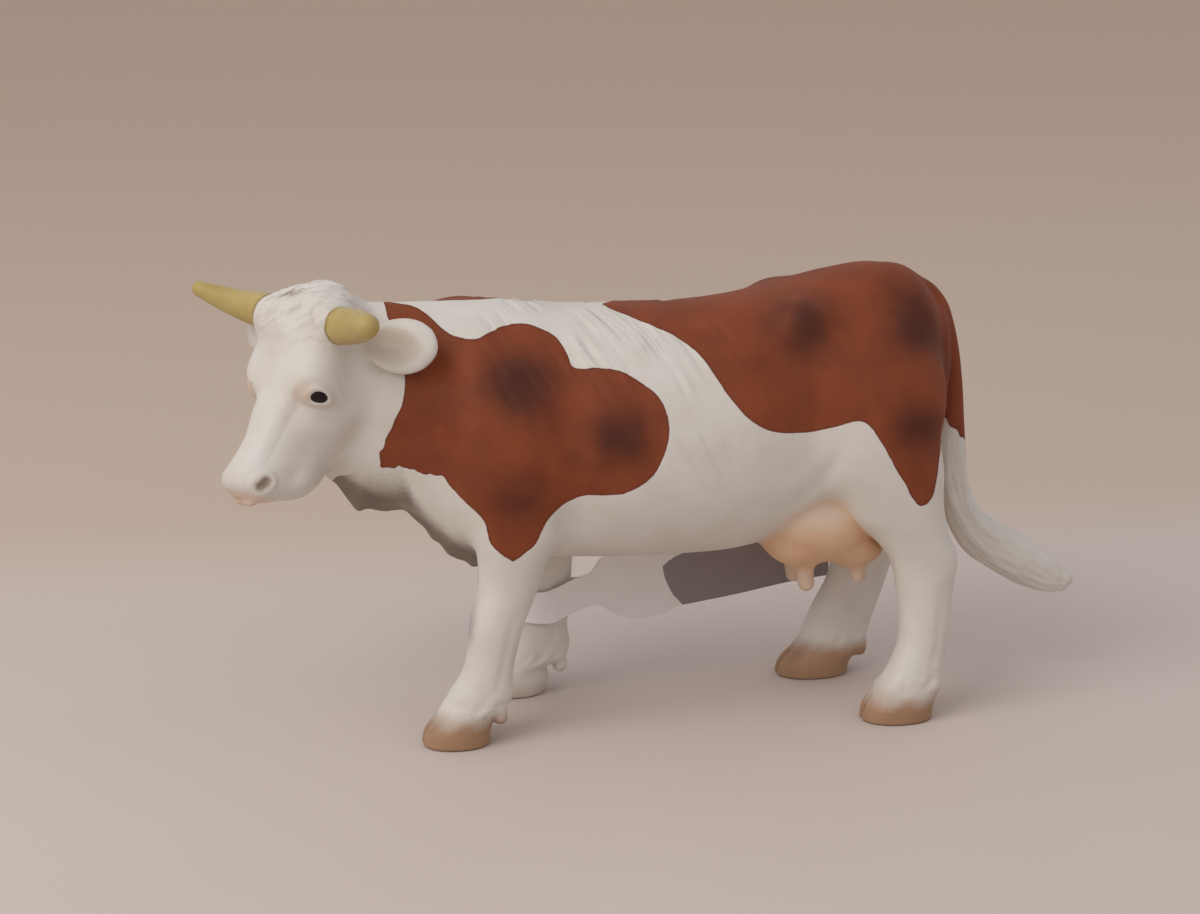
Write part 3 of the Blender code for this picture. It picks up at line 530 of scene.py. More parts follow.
def figure(p):
    """The whole skin of the figure, apart from the horns."""
    form = flesh(p)
    both = p * (1, 0, 1) + np.abs(p) * (0, 1, 0)
    form = dab(form, both, body_dabs)
    form = dab(form, p, [withers_dab])
    form = fold(form, both, body_folds)
    form = form + saddle_hair(p)
    here = p[:, 0] < -40
    form[here] -= poll_curls(p[here])
    for part, low, high, soft in extras:
        here = ((p > low) & (p < high)).all(axis=1)
        form[here] = melt(form[here], part(p[here]), soft)
    return form


# What melts onto the figure's skin: its form, the low and high corner of its box, and its fillet
extras = []


def udder(p):
    """The bag with its four quarters and teats."""
    x, y, z = p.T
    both = np.stack([x, np.abs(y), z], axis=1)
    bag = egg(both, (30.0, 0, 32.8), (12.2, 13.2, 9.2))
    for quarter in ((26.4, 4.6, 28.3), (35.8, 4.4, 27.6)):
        bag = melt(bag, egg(both, quarter, (5.3, 5.0, 4.3)), 1.6)
    for teat, length in (((27.6, -4.3, 24.6), 4.0), ((27.9, 4.9, 23.8), 4.4),
                         ((36.4, -4.1, 24.6), 3.0), ((36.0, 4.1, 24.6), 3.0)):
        far, run = line_distance(p, [teat, np.array(teat) + (0.5, 0, -length)])
        bag = melt(bag, far - 1.6 + 0.25 * run, 1.6)
    veins = noise(x / 3.2, y / 3.2, z / 3.2, 41)
    return bag + 0.10 * np.abs(veins)


# Tail: place, height, radius
tail_rows = np.array([
    (43.0, 68.9, 1.9), (47.4, 67.6, 1.9), (50.2, 64.5, 1.8), (52.0, 58.8, 1.75), (53.0, 52.1, 1.75),
    (53.4, 45.9, 1.85), (53.4, 40.4, 2.2), (53.9, 35.0, 2.7), (55.4, 30.3, 3.1), (57.9, 26.6, 3.5),
    (61.0, 24.2, 3.8), (64.6, 21.9, 3.8), (68.2, 19.6, 3.4), (71.3, 18.0, 2.7), (73.0, 17.4, 1.9),
])
tail_table = np.column_stack([np.arange(len(tail_rows)), tail_rows])
tail_line = along(tail_table, np.linspace(0, len(tail_rows) - 1, 80)).T
tail_passed = travelled(tail_line[:, :2])
tail_passed = tail_passed / tail_passed[-1]
# Where the switch of long hair begins, as a share of the tail's length
switch_share = 0.42


def tail_place(p):
    """How far a point lies from the tail's middle line, how far along it, and the turn round it."""
    x, y, z = p.T
    path = np.stack([tail_line[:, 0], 0 * tail_line[:, 0], tail_line[:, 1]], axis=1)
    far, run = line_distance(np.stack([x, 1.15 * y, z], axis=1), path)
    above = x * 0.62 + z * 0.78 - np.interp(run, tail_passed, path[:, 0] * 0.62 + path[:, 2] * 0.78)
    return far, run, np.arctan2(y, above)


def tail(p):
    """The tail and its switch."""
    far, run, turn = tail_place(p)
    radius = np.interp(run, tail_passed, tail_line[:, 2])
    # Locks of hair lie along the switch, as wide as one to two millimetres
    round_way, side_way = np.cos(turn), np.sin(turn)
    lock = noise(2.2 * round_way, 2.2 * side_way, run * 7, 52)
    lock = lock + 0.6 * noise(4.6 * round_way, 4.6 * side_way, run * 12, 53)
    locks = 0.34 * np.clip(lock, -0.7, 1) * np.clip((run - switch_share) / 0.12, 0, 1)
    return (far - radius) / 1.07 + locks


# How far the ears hang forwards, then along an ear: place, half width, half thickness
ear_droop = -0.04
ear_rows = [
    (-2.9, 1.5, 1.4), (0.0, 2.0, 1.7), (2.0, 3.0, 2.0), (4.5, 4.0, 2.3), (7.2, 4.4, 2.2), (9.8, 3.9, 1.8),
    (11.7, 2.7, 1.2), (13.0, 0.9, 0.6),
]
ears = {}
for ear_name, ear_side, ear_back in (("left_ear", 1, 0.36), ("right_ear", -1, -0.10)):
    ear_out = left_way * ear_side - brow_way * ear_back + nose_way * ear_droop
    ear_out = ear_out / np.linalg.norm(ear_out)
    ear_face = brow_way - ear_out * (brow_way @ ear_out)
    ear_face = ear_face / np.linalg.norm(ear_face)
    ear_root = poll + np.array([5.7, -9.2, ear_side * 7.7]) @ head_ways
    ears[ear_name] = (ear_root, np.array([ear_out, ear_face, np.cross(ear_out, ear_face)]))


def ear(p, name):
    """A leaf-shaped ear with its spoon hollowed out."""
    root, ways = ears[name]
    out, face, across = ((p - root) @ ways.T).T
    half, thick = along(ear_rows, out)
    leaf = oval(across, face, half, thick, 2.0)
    leaf = -melt(-leaf, -np.maximum(-2.9 - out, out - 13.0), 0.8)
    local = np.stack([out, face, across], axis=1)
    leaf = pare(leaf, egg(local, (6.2, 3.3, 1.0), (5.3, 2.6, 2.9)), 1.7)
    ridge = np.exp(-((across - 0.8) / 0.6) ** 2 - ((out - 5.0) / 3.0) ** 2)
    hair = noise(across / 0.7, out / 3.0, 0 * out, 31) * np.exp(-((out - 4) / 3.5) ** 2 - (across / 2.8) ** 2)
    return leaf - np.where(face > -0.5, 0.15 * ridge + 0.08 * hair, 0)


def around(points, margin):
    """The low and the high corner of a box that holds the points with a margin."""
    points = np.array(points)
    return points.min(axis=0) - margin, points.max(axis=0) + margin


# The boxes that hold udder and tail, as their low and high corners
udder_box = ((14, -14, 16), (46, 14, 40))
tail_box = ((40, -6, 11), (80, 6, 74))
extras += [(udder, *udder_box, 0.9), (tail, *tail_box, 1.2)]
for ear_name, (ear_root, ear_ways) in ears.items():
    ear_low, ear_high = around([ear_root, ear_root + 14 * ear_ways[0]], 7)
    extras.append((lambda p, name=ear_name: ear(p, name), ear_low, ear_high, 1.2))


# Torso
# Body, neck and shoulders, the largest casting of the figure, in soft vinyl (PVC) with pegs for its
# neighbours. The brown patches are sprayed through masks in matt paint, darker blooms are airbrushed
# over them, the dewlap is grey-brown, darkest at its lower edge, and the skin beside the udder is peach.

# Where the sections part: under the belly for the legs, and behind the jaw for the head
leg_parting = 25.9
brisket_half = 3.0
neck_point = np.array([-43.92, 0.0, 54.12])
neck_facing = turned(np.radians(27.0), (0, 0, 1)) @ turned(np.radians(16.0), (0, 1, 0)) @ (-1, 0, 0)
# How far apart the points of the skins lie
torso_pitch = 0.42
section_pitch = 0.3
ear_pitch = 0.25
horn_pitch = 0.26

# Brown patches as places along the body and round it, both in millimetres, the left flank negative
left_shoulder_patch = [
    (-39.3, 0.3), (-39.0, -3.8), (-37.5, -7.1), (-37.3, -12.3), (-37.8, -15.9), (-39.1, -19.5),
    (-40.5, -25.7),
    (-41.5, -32.8), (-41.1, -36.7), (-37.0, -35.5), (-34.2, -37.0), (-32.2, -36.0), (-30.3, -38.7),
    (-26.7, -41.0), (-25.7, -43.5), (-25.1, -45.1), (-22.4, -46.4), (-21.4, -46.3), (-18.5, -44.2),
    (-16.3, -41.0), (-12.1, -38.4), (-9.9, -37.4), (-4.9, -36.8), (-0.3, -33.7), (1.9, -28.7), (2.3, -24.7),
    (1.1, -20.8), (-1.9, -17.8), (-5.7, -15.4), (-11.4, -14.3), (-12.2, -12.0), (-13.7, -8.9), (-16.3, -7.0),
    (-19.1, -6.2), (-22.2, -6.8), (-26.2, -8.8), (-29.0, -7.9), (-30.9, -6.0), (-32.8, -3.4), (-35.0, -1.3),
    (-37.5, -0.3),
]
rump_patch = [
    (-4.9, -0.2), (1.1, -7.6), (5.7, -11.2), (9.1, -16.0), (11.0, -19.7), (13.7, -23.5), (16.5, -26.1),
    (19.8, -27.4), (25.0, -27.6), (29.0, -26.9), (32.5, -26.0), (34.8, -27.7), (37.5, -32.6), (40.1, -37.4),
    (41.6, -40.2), (43.2, -41.8), (45.2, -41.1), (46.1, -38.2), (47.0, -34.2), (47.8, -31.2), (52.0, -31.0),
    (60.0, -30.0), (60.0, 30.0), (52.0, 30.0), (46.0, 33.0), (43.5, 40.5), (40.0, 36.0), (36.0, 30.0),
    (32.0, 27.0),
    (27.0, 29.5), (20.0, 29.0), (14.0, 25.0), (9.0, 18.0), (6.0, 12.0), (2.0, 7.0),
]
right_shoulder_patch = [
    (-33.0, 1.6), (-28.0, 0.3), (-22.5, 1.2), (-16.0, 6.0), (-12.5, 11.0), (-9.0, 16.0), (-4.0, 19.0),
    (-1.5, 25.0), (-3.0, 31.0), (-8.0, 36.0), (-12.0, 38.0), (-16.0, 42.0), (-20.0, 46.0), (-24.0, 45.5),
    (-27.5, 41.0), (-32.0, 37.0), (-37.0, 36.0), (-41.0, 33.0), (-39.0, 24.0), (-38.0, 16.0), (-37.0, 9.0),
]
# Airbrushed blooms: place along the body and round it, radius, strength
blooms = [
    (-20.0, -17.0, 6.6, 0.9), (-4.8, -27.2, 6.0, 0.85), (-21.6, -37.0, 5.4, 0.6), (-12.0, -30.5, 3.6, 0.4),
    (21.9, -9.6, 4.6, 0.6), (24.8, -11.6, 4.8, 0.85), (28.2, -9.8, 3.8, 0.5), (43.6, -10.4, 6.2, 0.85),
    (42.2, -27.3, 5.8, 0.75),
    (-19.0, 17.0, 6.4, 0.9), (-6.0, 28.0, 6.0, 0.85), (-21.5, 38.0, 5.2, 0.6), (23.6, 11.0, 4.8, 0.75),
    (27.4, 12.2, 5.0, 0.85), (43.3, 10.8, 6.0, 0.85), (42.4, 28.0, 5.6, 0.75),
]


def rounded(points, steps=4):
    """A smooth closed outline through the given points."""
    points = np.array(points, float)
    before = np.roll(points, 1, axis=0)
    after = np.roll(points, -1, axis=0)
    beyond = np.roll(points, -2, axis=0)
    rows = []
    for share in np.arange(steps) / steps:
        bend = (2 * before - 5 * points + 4 * after - beyond) * share ** 2
        twist = (3 * points - before - 3 * after + beyond) * share ** 3
        rows.append(points + 0.5 * ((after - before) * share + bend + twist))
    return np.stack(rows, axis=1).reshape(-1, 2)


def inside_by(place, outline):
    """How far a flat place lies inside an outline, negative outside."""
    best = np.full(len(place), 1e9)
    inside = np.zeros(len(place), bool)
    for start, end in zip(outline, np.roll(outline, -1, axis=0)):
        way = end - start
        away = place - start
        share = np.clip(away @ way / (way @ way + 1e-9), 0, 1)
        best = np.minimum(best, np.hypot(*(away - share[:, None] * way).T))
        if way[1]:
            reached = start[0] + (place[:, 1] - start[1]) / way[1] * way[0]
            inside ^= ((start[1] > place[:, 1]) != (end[1] > place[:, 1])) & (place[:, 0] < reached)
    return np.where(inside, best, -best)


def coat(p):
    """The brown of the hide: how far inside a patch, and how dark the airbrushed bloom."""
    x, y, z = p.T
    round_body = girth(p)
    place = np.stack([x, round_body], axis=1)
    outlines = [rounded(outline) for outline in (left_shoulder_patch, rump_patch, right_shoulder_patch)]
    patch = np.maximum.reduce([inside_by(place, outline) for outline in outlines])
    ragged = np.exp(-((x + 37) / 5.5) ** 2 - ((np.abs(round_body) - 33) / 7) ** 2)
    patch = patch + 0.09 * noise(x / 1.6, y / 1.6, z / 1.6, 71)
    patch = patch + 1.4 * ragged * noise(x / 0.8, y / 0.8, z / 1.0, 72)
    bloom = 0 * x
    for middle, turn, radius, strength in blooms:
        away = (x - middle) ** 2 + (round_body - turn) ** 2
        bloom = np.maximum(bloom, strength * np.exp(-away / radius ** 2))
    return {"patch": patch, "bloom": bloom + 0.08 * noise(x / 2.5, y / 2.5, z / 2.5, 73)}


def torso_marks(p):
    """Where each paint of the torso lies, and the lie of its hair."""
    x, y, z = p.T
    # Grey-brown on the dewlap, darkest at its lower edge and fading upwards
    drop = z - along(dewlap_rows, x)[0]
    span = np.interp(x, [-50, -38, -36, -30, -25], [7.5, 8.0, 4.2, 5.5, 6.5])
    wash = np.clip(1.25 - drop / span + 0.15 * noise(x / 3, y / 3, z / 3, 74), 0, 1)
    wash = wash * np.clip((12 - np.abs(y)) / 3, 0, 1) * np.clip((-23 - x) / 3, 0, 1)
    across, lengthways, hair = saddle_comb(p)
    # The hair shows less where the brown paint has filled it
    marks = coat(p)
    hair = hair * (1 - 0.75 * np.clip(marks["patch"], 0, 1))
    return {**marks, "wash": wash, "flush": np.clip(1 - udder(p) / 5, 0, 1),
            "comb_across": across / 0.5, "comb_along": lengthways / 6, "comb": np.maximum(2.8 * hair, 0.22)}


def zone_of(p, part):
    """Negative where a point is nearer to the part than to the rest of the figure."""
    return part(p) - flesh(p)


def leg_zone(p):
    """Negative in the castings of the legs."""
    level = np.maximum(p[:, 2] - leg_parting, brisket_half - np.abs(p[:, 1]))
    other = -np.minimum(zone_of(p, udder), zone_of(p, tail))
    return np.maximum(level, other)


def head_zone(p):
    """Negative in front of the parting behind the jaw."""
    return -(p - neck_point) @ neck_facing


def ear_zone(p):
    """Negative in both ears."""
    return np.minimum(*(zone_of(p, lambda q, name=name: ear(q, name)) for name in ears))


def torso_side(p):
    """Negative in what the other sections leave to the torso."""
    zones = [leg_zone(p), head_zone(p), ear_zone(p), zone_of(p, udder), zone_of(p, tail)]
    return -np.minimum.reduce(zones)


def skin(form, low, high, pitch):
    """Lay small triangles over the surface of a form inside a box, with the way each point faces."""
    block = 4
    low = np.array(low, float)
    blocks = np.ceil((np.array(high) - low) / (pitch * block)).astype(int)
    middles = low + (np.indices(blocks).reshape(3, -1).T + 0.5) * pitch * block
    rough = form(middles).reshape(blocks)
    close = np.abs(rough) < block * pitch * 1.9
    cells = blocks * block
    spread = [np.minimum(np.arange(count + 1) // block, count // block - 1) for count in cells]
    values = rough[np.ix_(*spread)]
    wanted = np.zeros(cells + 1, bool)
    fine = close.repeat(block, 0).repeat(block, 1).repeat(block, 2)
    for corner in range(8):
        shift = [corner >> axis & 1 for axis in range(3)]
        wanted[tuple(slice(step, step + count) for step, count in zip(shift, cells))] |= fine
    values[wanted] = form(low + np.argwhere(wanted) * pitch)
    for axis in range(3):
        for end in (0, -1):
            edge = [slice(None)] * 3
            edge[axis] = end
            values[tuple(edge)] = np.maximum(values[tuple(edge)], pitch)
    inside = values < 0
    steps = np.array([cells[1] * cells[2], cells[2], 1])
    ways = np.eye(3, dtype=int)
    marks, crossings, quads = [], [], []
    for axis in range(3):
        lower = [slice(None)] * 3
        upper = [slice(None)] * 3
        lower[axis] = slice(0, -1)
        upper[axis] = slice(1, None)
        edges = np.argwhere(inside[tuple(lower)] != inside[tuple(upper)])
        first = values[tuple(edges.T)]
        second = values[tuple((edges + ways[axis]).T)]
        point = edges + (first / (first - second))[:, None] * ways[axis]
        beside = ways[(axis + 1) % 3]
        under = ways[(axis + 2) % 3]
        ring = np.stack([edges @ steps, (edges - beside) @ steps, (edges - beside - under) @ steps,
                         (edges - under) @ steps], axis=1)
        marks.append(ring.T.ravel())
        crossings.append(np.tile(point, (4, 1)))
        ring[first > 0] = ring[first > 0][:, ::-1]
        quads.append(ring)
    names, index = np.unique(np.concatenate(marks), return_inverse=True)
    crossings = np.concatenate(crossings)
    count = np.bincount(index)
    points = np.stack([np.bincount(index, crossings[:, axis]) / count for axis in range(3)], axis=1)
    points = low + points * pitch
    quads = np.searchsorted(names, np.concatenate(quads))
    # Slide every point onto the surface
    for _ in range(2):
        value = form(points)
        step = 0.04
        slope = np.stack([(form(points + step * axis) - value) / step for axis in ways], axis=1)
        shift = value[:, None] * slope / np.maximum((slope ** 2).sum(axis=1), 0.2)[:, None]
        far = np.linalg.norm(shift, axis=1)
        points = points - shift * np.minimum(1, 0.5 * pitch / np.maximum(far, 1e-9))[:, None]
    corner = points[quads]
    one = np.linalg.norm(corner[:, 0] - corner[:, 2], axis=1)
    other = np.linalg.norm(corner[:, 1] - corner[:, 3], axis=1)
    even = quads[one <= other]
    odd = quads[one > other]
    faces = np.concatenate([even[:, [0, 1, 2]], even[:, [0, 2, 3]], odd[:, [0, 1, 3]], odd[:, [1, 2, 3]]])
    facing = slope / np.maximum(np.linalg.norm(slope, axis=1), 1e-6)[:, None]
    return points, faces, facing


def part_off(points, faces, facing, side):
    """Keep the skin where side is negative, cut through its triangles where it is zero, and close the cut."""
    kept = side[faces] < 0
    count = kept.sum(axis=1)
    keys = []
    corners = []
    for wanted in (1, 2):
        some = faces[count == wanted]
        mask = kept[count == wanted]
        lone = np.argmax(mask, axis=1) if wanted == 1 else np.argmin(mask, axis=1)
        row = np.arange(len(some))
        a, b, c = (some[row, (lone + step) % 3] for step in range(3))
        corners.append((a, b, c))
        for end in (b, c):
            keys.append(np.minimum(a, end) * len(points) + np.maximum(a, end))
    names, index = np.unique(np.concatenate(keys), return_inverse=True)
    ends = np.split(index + len(points), np.cumsum([len(key) for key in keys])[:-1])
    low, high = names // len(points), names % len(points)
    share = (side[low] / (side[low] - side[high]))[:, None]
    cut = points[low] + share * (points[high] - points[low])
    cut_facing = facing[low] + share * (facing[high] - facing[low])
    (a, b, c), (ab, ac) = corners[0], ends[:2]
    made = [faces[count == 3], np.stack([a, ab, ac], axis=1)]
    rims = list(zip(ac, ab))
    (a, b, c), (ab, ac) = corners[1], ends[2:]
    made += [np.stack([ab, b, c], axis=1), np.stack([ab, c, ac], axis=1)]
    rims += list(zip(ab, ac))
    points = np.concatenate([points, cut])
    facing = np.concatenate([facing, cut_facing])
    after = dict(rims)
    caps = []
    while after:
        start, end = next(iter(after.items()))
        loop = [start]
        del after[start]
        while end in after:
            loop.append(end)
            end = after.pop(end)
        if len(loop) < 3:
            continue
        ring = points[loop]
        outwards = np.cross(ring - ring[0], np.roll(ring, -1, axis=0) - ring[0]).sum(axis=0)
        for triangle in tessellate_polygon([[Vector(point) for point in ring]]):
            one, two, three = ring[list(triangle)]
            if np.cross(two - one, three - one) @ outwards < 0:
                triangle = triangle[::-1]
            caps.append([loop[corner] for corner in triangle])
    cap_count = len(caps)
    made.append(np.array(caps, int).reshape(-1, 3))
    faces = np.concatenate(made)
    used, faces = np.unique(faces, return_inverse=True)
    return points[used], faces.reshape(-1, 3), facing[used], cap_count


def new_object(name, data):
    """An object in the scene for the given data."""
    made = bpy.data.objects.new(name, data)
    bpy.context.scene.collection.objects.link(made)
    return made


def mesh_piece(name, points, faces, facing, cap_count, marks):
    """A piece of the model from points in the cow's frame, with its paint marks at every point."""
    corner = points[faces]
    square = np.cross(corner[:, 1] - corner[:, 0], corner[:, 2] - corner[:, 0])
    area = np.linalg.norm(square, axis=1)
    capped = np.arange(len(faces)) >= len(faces) - cap_count
    solid = area > 1e-7
    faces, square, area, capped = faces[solid], square[solid], area[solid], capped[solid]
    corner_facing = facing[faces]
    corner_facing[capped] = (square[capped] / area[capped][:, None])[:, None]
    mesh = bpy.data.meshes.new(name)
    mesh.vertices.add(len(points))
    mesh.vertices.foreach_set("co", ((points + stand) / 1000).astype(np.float32).ravel())
    mesh.loops.add(faces.size)
    mesh.loops.foreach_set("vertex_index", faces.astype(np.int32).ravel())
    mesh.polygons.add(len(faces))
    mesh.polygons.foreach_set("loop_start", np.arange(0, faces.size, 3, dtype=np.int32))
    mesh.update(calc_edges=True)
    mesh.shade_smooth()
    mesh.normals_split_custom_set(corner_facing.reshape(-1, 3))
    for mark, values in marks.items():
        layer = mesh.attributes.new(mark, "FLOAT", "POINT")
        layer.data.foreach_set("value", values.astype(np.float32))
    return new_object(name, mesh)


def hollows(form, points, facing, reach=0.8):
    """How deep in a crease of the relief each point lies, from 0 to 1, which sets the painted shade in the
    creases.
    """
    return np.clip(1 - form(points + facing * reach) / reach, 0, 1)


def section(name, low, high, pitch, side, marks_of, material, slot):
    """Skin one section, part it off its neighbours, mark and paint it, and put it in place of its part."""
    points, faces, facing = skin(figure, low, high, pitch * coarse)
    points, faces, facing, cap_count = part_off(points, faces, facing, side(points))
    marks = marks_of(points)
    # Painted shade in the creases of the relief
    marks["hollow"] = hollows(figure, points, facing)
    piece = mesh_piece(name + "_vinyl", points, faces, facing, cap_count, marks)
    piece.data.materials.append(material)
    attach(piece, "figure")
    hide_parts(name)


def linear(colour):
    """The shader's values for an sRGB hex colour."""
    parts = [int(colour[start:start + 2], 16) / 255 for start in (1, 3, 5)]
    values = [part / 12.92 if part <= 0.04045 else ((part + 0.055) / 1.055) ** 2.4 for part in parts]
    return (*values, 1)


def add_node(tree, kind, values=(), links=(), **settings):
    """A node of the given kind with its settings, socket values and incoming links."""
    made = tree.nodes.new("ShaderNode" + kind)
    for name, value in settings.items():
        setattr(made, name, value)
    for socket, value in dict(values).items():
        made.inputs[socket].default_value = value
    for socket, source in dict(links).items():
        tree.links.new(source, made.inputs[socket])
    return made


def new_material(name):
    """A material, the tree of its nodes and its shader."""
    material = bpy.data.materials.new(name)
    material.use_nodes = True
    return material, material.node_tree, material.node_tree.nodes["Principled BSDF"]


def clouds(tree, scale, detail, place):
    """Noise with a number of clouds per metre."""
    return add_node(tree, "TexNoise", {"Scale": scale, "Detail": detail}, {"Vector": place}).outputs["Fac"]


def mark_level(tree, mark):
    """What a mark says at each point of the mesh."""
    return add_node(tree, "Attribute", attribute_name=mark).outputs["Fac"]


def mapped(tree, limits, source, **settings):
    """A value stretched between new limits."""
    return add_node(tree, "MapRange", limits, {0: source}, **settings).outputs[0]


def two_tone(tree, hues, share):
    """A colour between two hues."""
    ends = {6: linear(hues[0]), 7: linear(hues[1])}
    return add_node(tree, "Mix", ends, {0: share}, data_type="RGBA").outputs[2]


def coated(tree, share, under, upper):
    """One colour laid over another."""
    return add_node(tree, "Mix", {}, {0: share, 6: under, 7: upper}, data_type="RGBA").outputs[2]


def finish_shader(tree, shader, colour, rough, bump):
    """Link what a material works out to its shader."""
    tree.links.new(colour, shader.inputs["Base Color"])
    tree.links.new(rough, shader.inputs["Roughness"])
    tree.links.new(bump, shader.inputs["Normal"])


def painted_vinyl(name, base, layers, gloss, relief=0.16):
    """Cast vinyl and its paint. A layer is its mark, two hues, where it starts and covers fully, how
    uneven its edge is in the mark's own unit, how much it covers, and its roughness or None."""
    material, tree, shader = new_material(name)
    place = add_node(tree, "TexCoord").outputs["Object"]
    # Clouds of 7 mm in the spray, and its speckle of 0.6 mm
    cloud = mapped(tree, {1: 0.32, 2: 0.68}, clouds(tree, 140, 4, place))
    speckle = clouds(tree, 1700, 2, place)
    colour = two_tone(tree, base, cloud)
    rough = mapped(tree, {3: gloss[0], 4: gloss[1]}, cloud)
    for mark, hues, start, full, uneven, cover, sheen in layers:
        level = {0: speckle, 2: mark_level(tree, mark)}
        level = add_node(tree, "Math", {1: uneven}, level, operation="MULTIPLY_ADD").outputs[0]
        limits = {1: start + uneven / 2, 2: full + uneven / 2, 4: cover}
        share = mapped(tree, limits, level, interpolation_type="SMOOTHSTEP")
        colour = coated(tree, share, colour, two_tone(tree, hues, cloud))
        if sheen is not None:
            rough = add_node(tree, "Mix", {3: sheen}, {0: share, 2: rough}).outputs[0]
    # Painted shade: the colour darkens a little in the creases of the relief, where shade falls
    hollow = mapped(tree, {1: 0.15, 2: 0.9, 4: 0.45}, mark_level(tree, "hollow"))
    colour = add_node(tree, "Mix", {7: linear("#A8927E")}, {0: hollow, 6: colour}, data_type="RGBA",
                      blend_type="MULTIPLY").outputs[2]
    # Hair strokes of the sculpt too fine for the mesh, and the 0.25 mm grain of the mould
    lie = {0: mark_level(tree, "comb_across"), 1: mark_level(tree, "comb_along")}
    combed = add_node(tree, "CombineXYZ", {}, lie).outputs[0]
    strokes = {0: clouds(tree, 1, 2, combed), 1: mark_level(tree, "comb")}
    strokes = add_node(tree, "Math", {}, strokes, operation="MULTIPLY").outputs[0]
    grain = clouds(tree, 4000, 1, place)
    height = add_node(tree, "Math", {1: 0.10}, {0: grain, 2: strokes}, operation="MULTIPLY_ADD").outputs[0]
    bump = add_node(tree, "Bump", {"Strength": 0.8, "Distance": relief / 1000}, {"Height": height}).outputs[0]
    finish_shader(tree, shader, colour, rough, bump)
    shader.inputs["IOR"].default_value = 1.42
    shader.inputs["Specular IOR Level"].default_value = 0.35
    return material


white_hues = ("#DCD6CD", "#D4CCC1")
brown_hues = ("#8B4424", "#7A3A1F")
bloom_hues = ("#4C2317", "#431E14")
vinyl_gloss = (0.46, 0.58)
# Sprayed patch with a slightly darker line where the mask was, then the blooms over the brown only
patch_layers = [
    ("patch", ("#70331F", "#6A2F1C"), -0.08, 0.08, 0.15, 1.0, 0.66),
    ("patch", brown_hues, 0.05, 0.45, 0.3, 1.0, None),
    ("dark", bloom_hues, 0.0, 1.1, 0.1, 1.0, None),
]
patched_vinyl = painted_vinyl("hand_painted_soft_vinyl", white_hues, [
    ("flush", ("#DFC3A8", "#D8B99C"), 0.25, 1.0, 0.2, 0.75, None),
    # Grey-brown on the dewlap, darkest at its lower edge
    ("wash", ("#806E5F", "#6B5C4E"), 0.05, 0.95, 0.3, 0.9, None),
    *patch_layers,
], vinyl_gloss)


def with_dark(marks):
    """Blooms lie on the brown only."""
    marks["dark"] = marks.pop("bloom") * np.clip(marks["patch"] / 0.8, 0, 1)
    return marks


section("torso", (-56, -20, 22), (56, 20, 76), torso_pitch, torso_side,
        lambda p: with_dark(torso_marks(p)), patched_vinyl, "patched_vinyl")


# Head
# The head is a casting of its own in the same vinyl, glued to the neck behind the jaw. Its eyes are
# brushed on in gloss black, the muzzle and eye corners are airbrushed pink and tan, the rest is white,
# and the lower cheek and jaw carry a warm painted shade.
def head_marks(p):
    """Where each paint of the head lies, and the lie of its hair."""
    nose, brow, left = in_head(p).T
    both = np.stack([nose, brow, np.abs(left)], axis=1)
    size, eye_depth = eye_place(both)
    near_eye = np.linalg.norm(both - eye_middle, axis=1) < 4.5
    eye = np.where(near_eye, eye_depth, -3.0)
    corner = egg(both, (17.2, -1.5, 6.9), (2.2, 1.4, 2.0))
    lid = np.where(near_eye, np.exp(-((size - 2.0) / 0.9) ** 2), 0)
    tan = np.clip(np.maximum(np.clip(0.5 - corner / 2.2, 0, 1), 0.4 * lid), 0, 1)
    pink = np.clip(0.75 - egg(both, (34.7, -3.2, 1.2), (1.9, 3.0, 2.4)) / 2.4, 0, 1)
    far = line_distance(both, [(32.3, -1.0, 4.4), (31.3, -1.6, 4.8)])[0]
    across, lengthways, hair = poll_comb(p)
    # Painted shade: a warm, darker tint over the lower cheek and jaw, fading out towards the parting behind
    # the jaw
    jaw = np.clip(1 - np.abs(nose - 20) / 12, 0, 1) * np.clip((-brow - 8) / 8, 0, 1)
    return {**coat(p), "eye": eye, "tan": tan, "pink": pink, "nostril": np.clip(1.25 - far / 1.1, 0, 1),
            "comb_across": across / 0.5, "comb_along": lengthways / 3, "comb": np.maximum(hair, 0.28),
            # The painted shade on the jaw
            "warm": jaw * np.clip(-head_zone(p) / 7, 0, 1)}


head_vinyl = painted_vinyl("hand_painted_soft_vinyl_head", white_hues, [
    # Painted shade on the lower cheek and jaw
    ("warm", ("#D2C6B8", "#CBBCAC"), 0.1, 1.0, 0.2, 0.6, None),
    ("tan", ("#CFB49B", "#C7AA90"), 0.05, 1.0, 0.15, 0.6, None),
    ("pink", ("#DDC0AA", "#D5B59D"), 0.05, 0.95, 0.2, 0.75, 0.45),
    ("nostril", ("#978270", "#8B7664"), 0.1, 1.0, 0.1, 0.85, None),
    *patch_layers,
    ("eye", ("#1B1114", "#150D10"), -0.05, 0.05, 0.05, 1.0, 0.16),
], vinyl_gloss)
section("head", (-76, -28, 33), (-36, 20, 78), section_pitch,
        lambda p: np.maximum(head_zone(p), -ear_zone(p)), lambda p: with_dark(head_marks(p)),
        head_vinyl, "white_vinyl")


# Ears
# Two leaf-shaped ears in soft vinyl, glued into the sides of the head: white outside, with a tan breath
# of airbrush in the spoon of the ear, which also serves as painted shade in its hollow.
def ear_marks(p, name):
    """Where the tan of an ear's spoon lies, airbrush and painted shade in its hollow, and the lie of its
    hair.
    """
    root, ways = ears[name]
    out, face, across = ((p - root) @ ways.T).T
    local = np.stack([out, face, across], axis=1)
    # The spoon's tan: the ear's own airbrush, and painted shade in the hollow
    spoon = egg(local, (6.0, 2.2, 0.8), (5.2, 3.0, 3.0))
    return {"inner": np.clip(0.5 - spoon / 1.6, 0, 1) * (face > -0.8),
            "comb_across": across / 0.5, "comb_along": out / 3, "comb": 0.5 * np.clip(1 - spoon, 0, 1)}


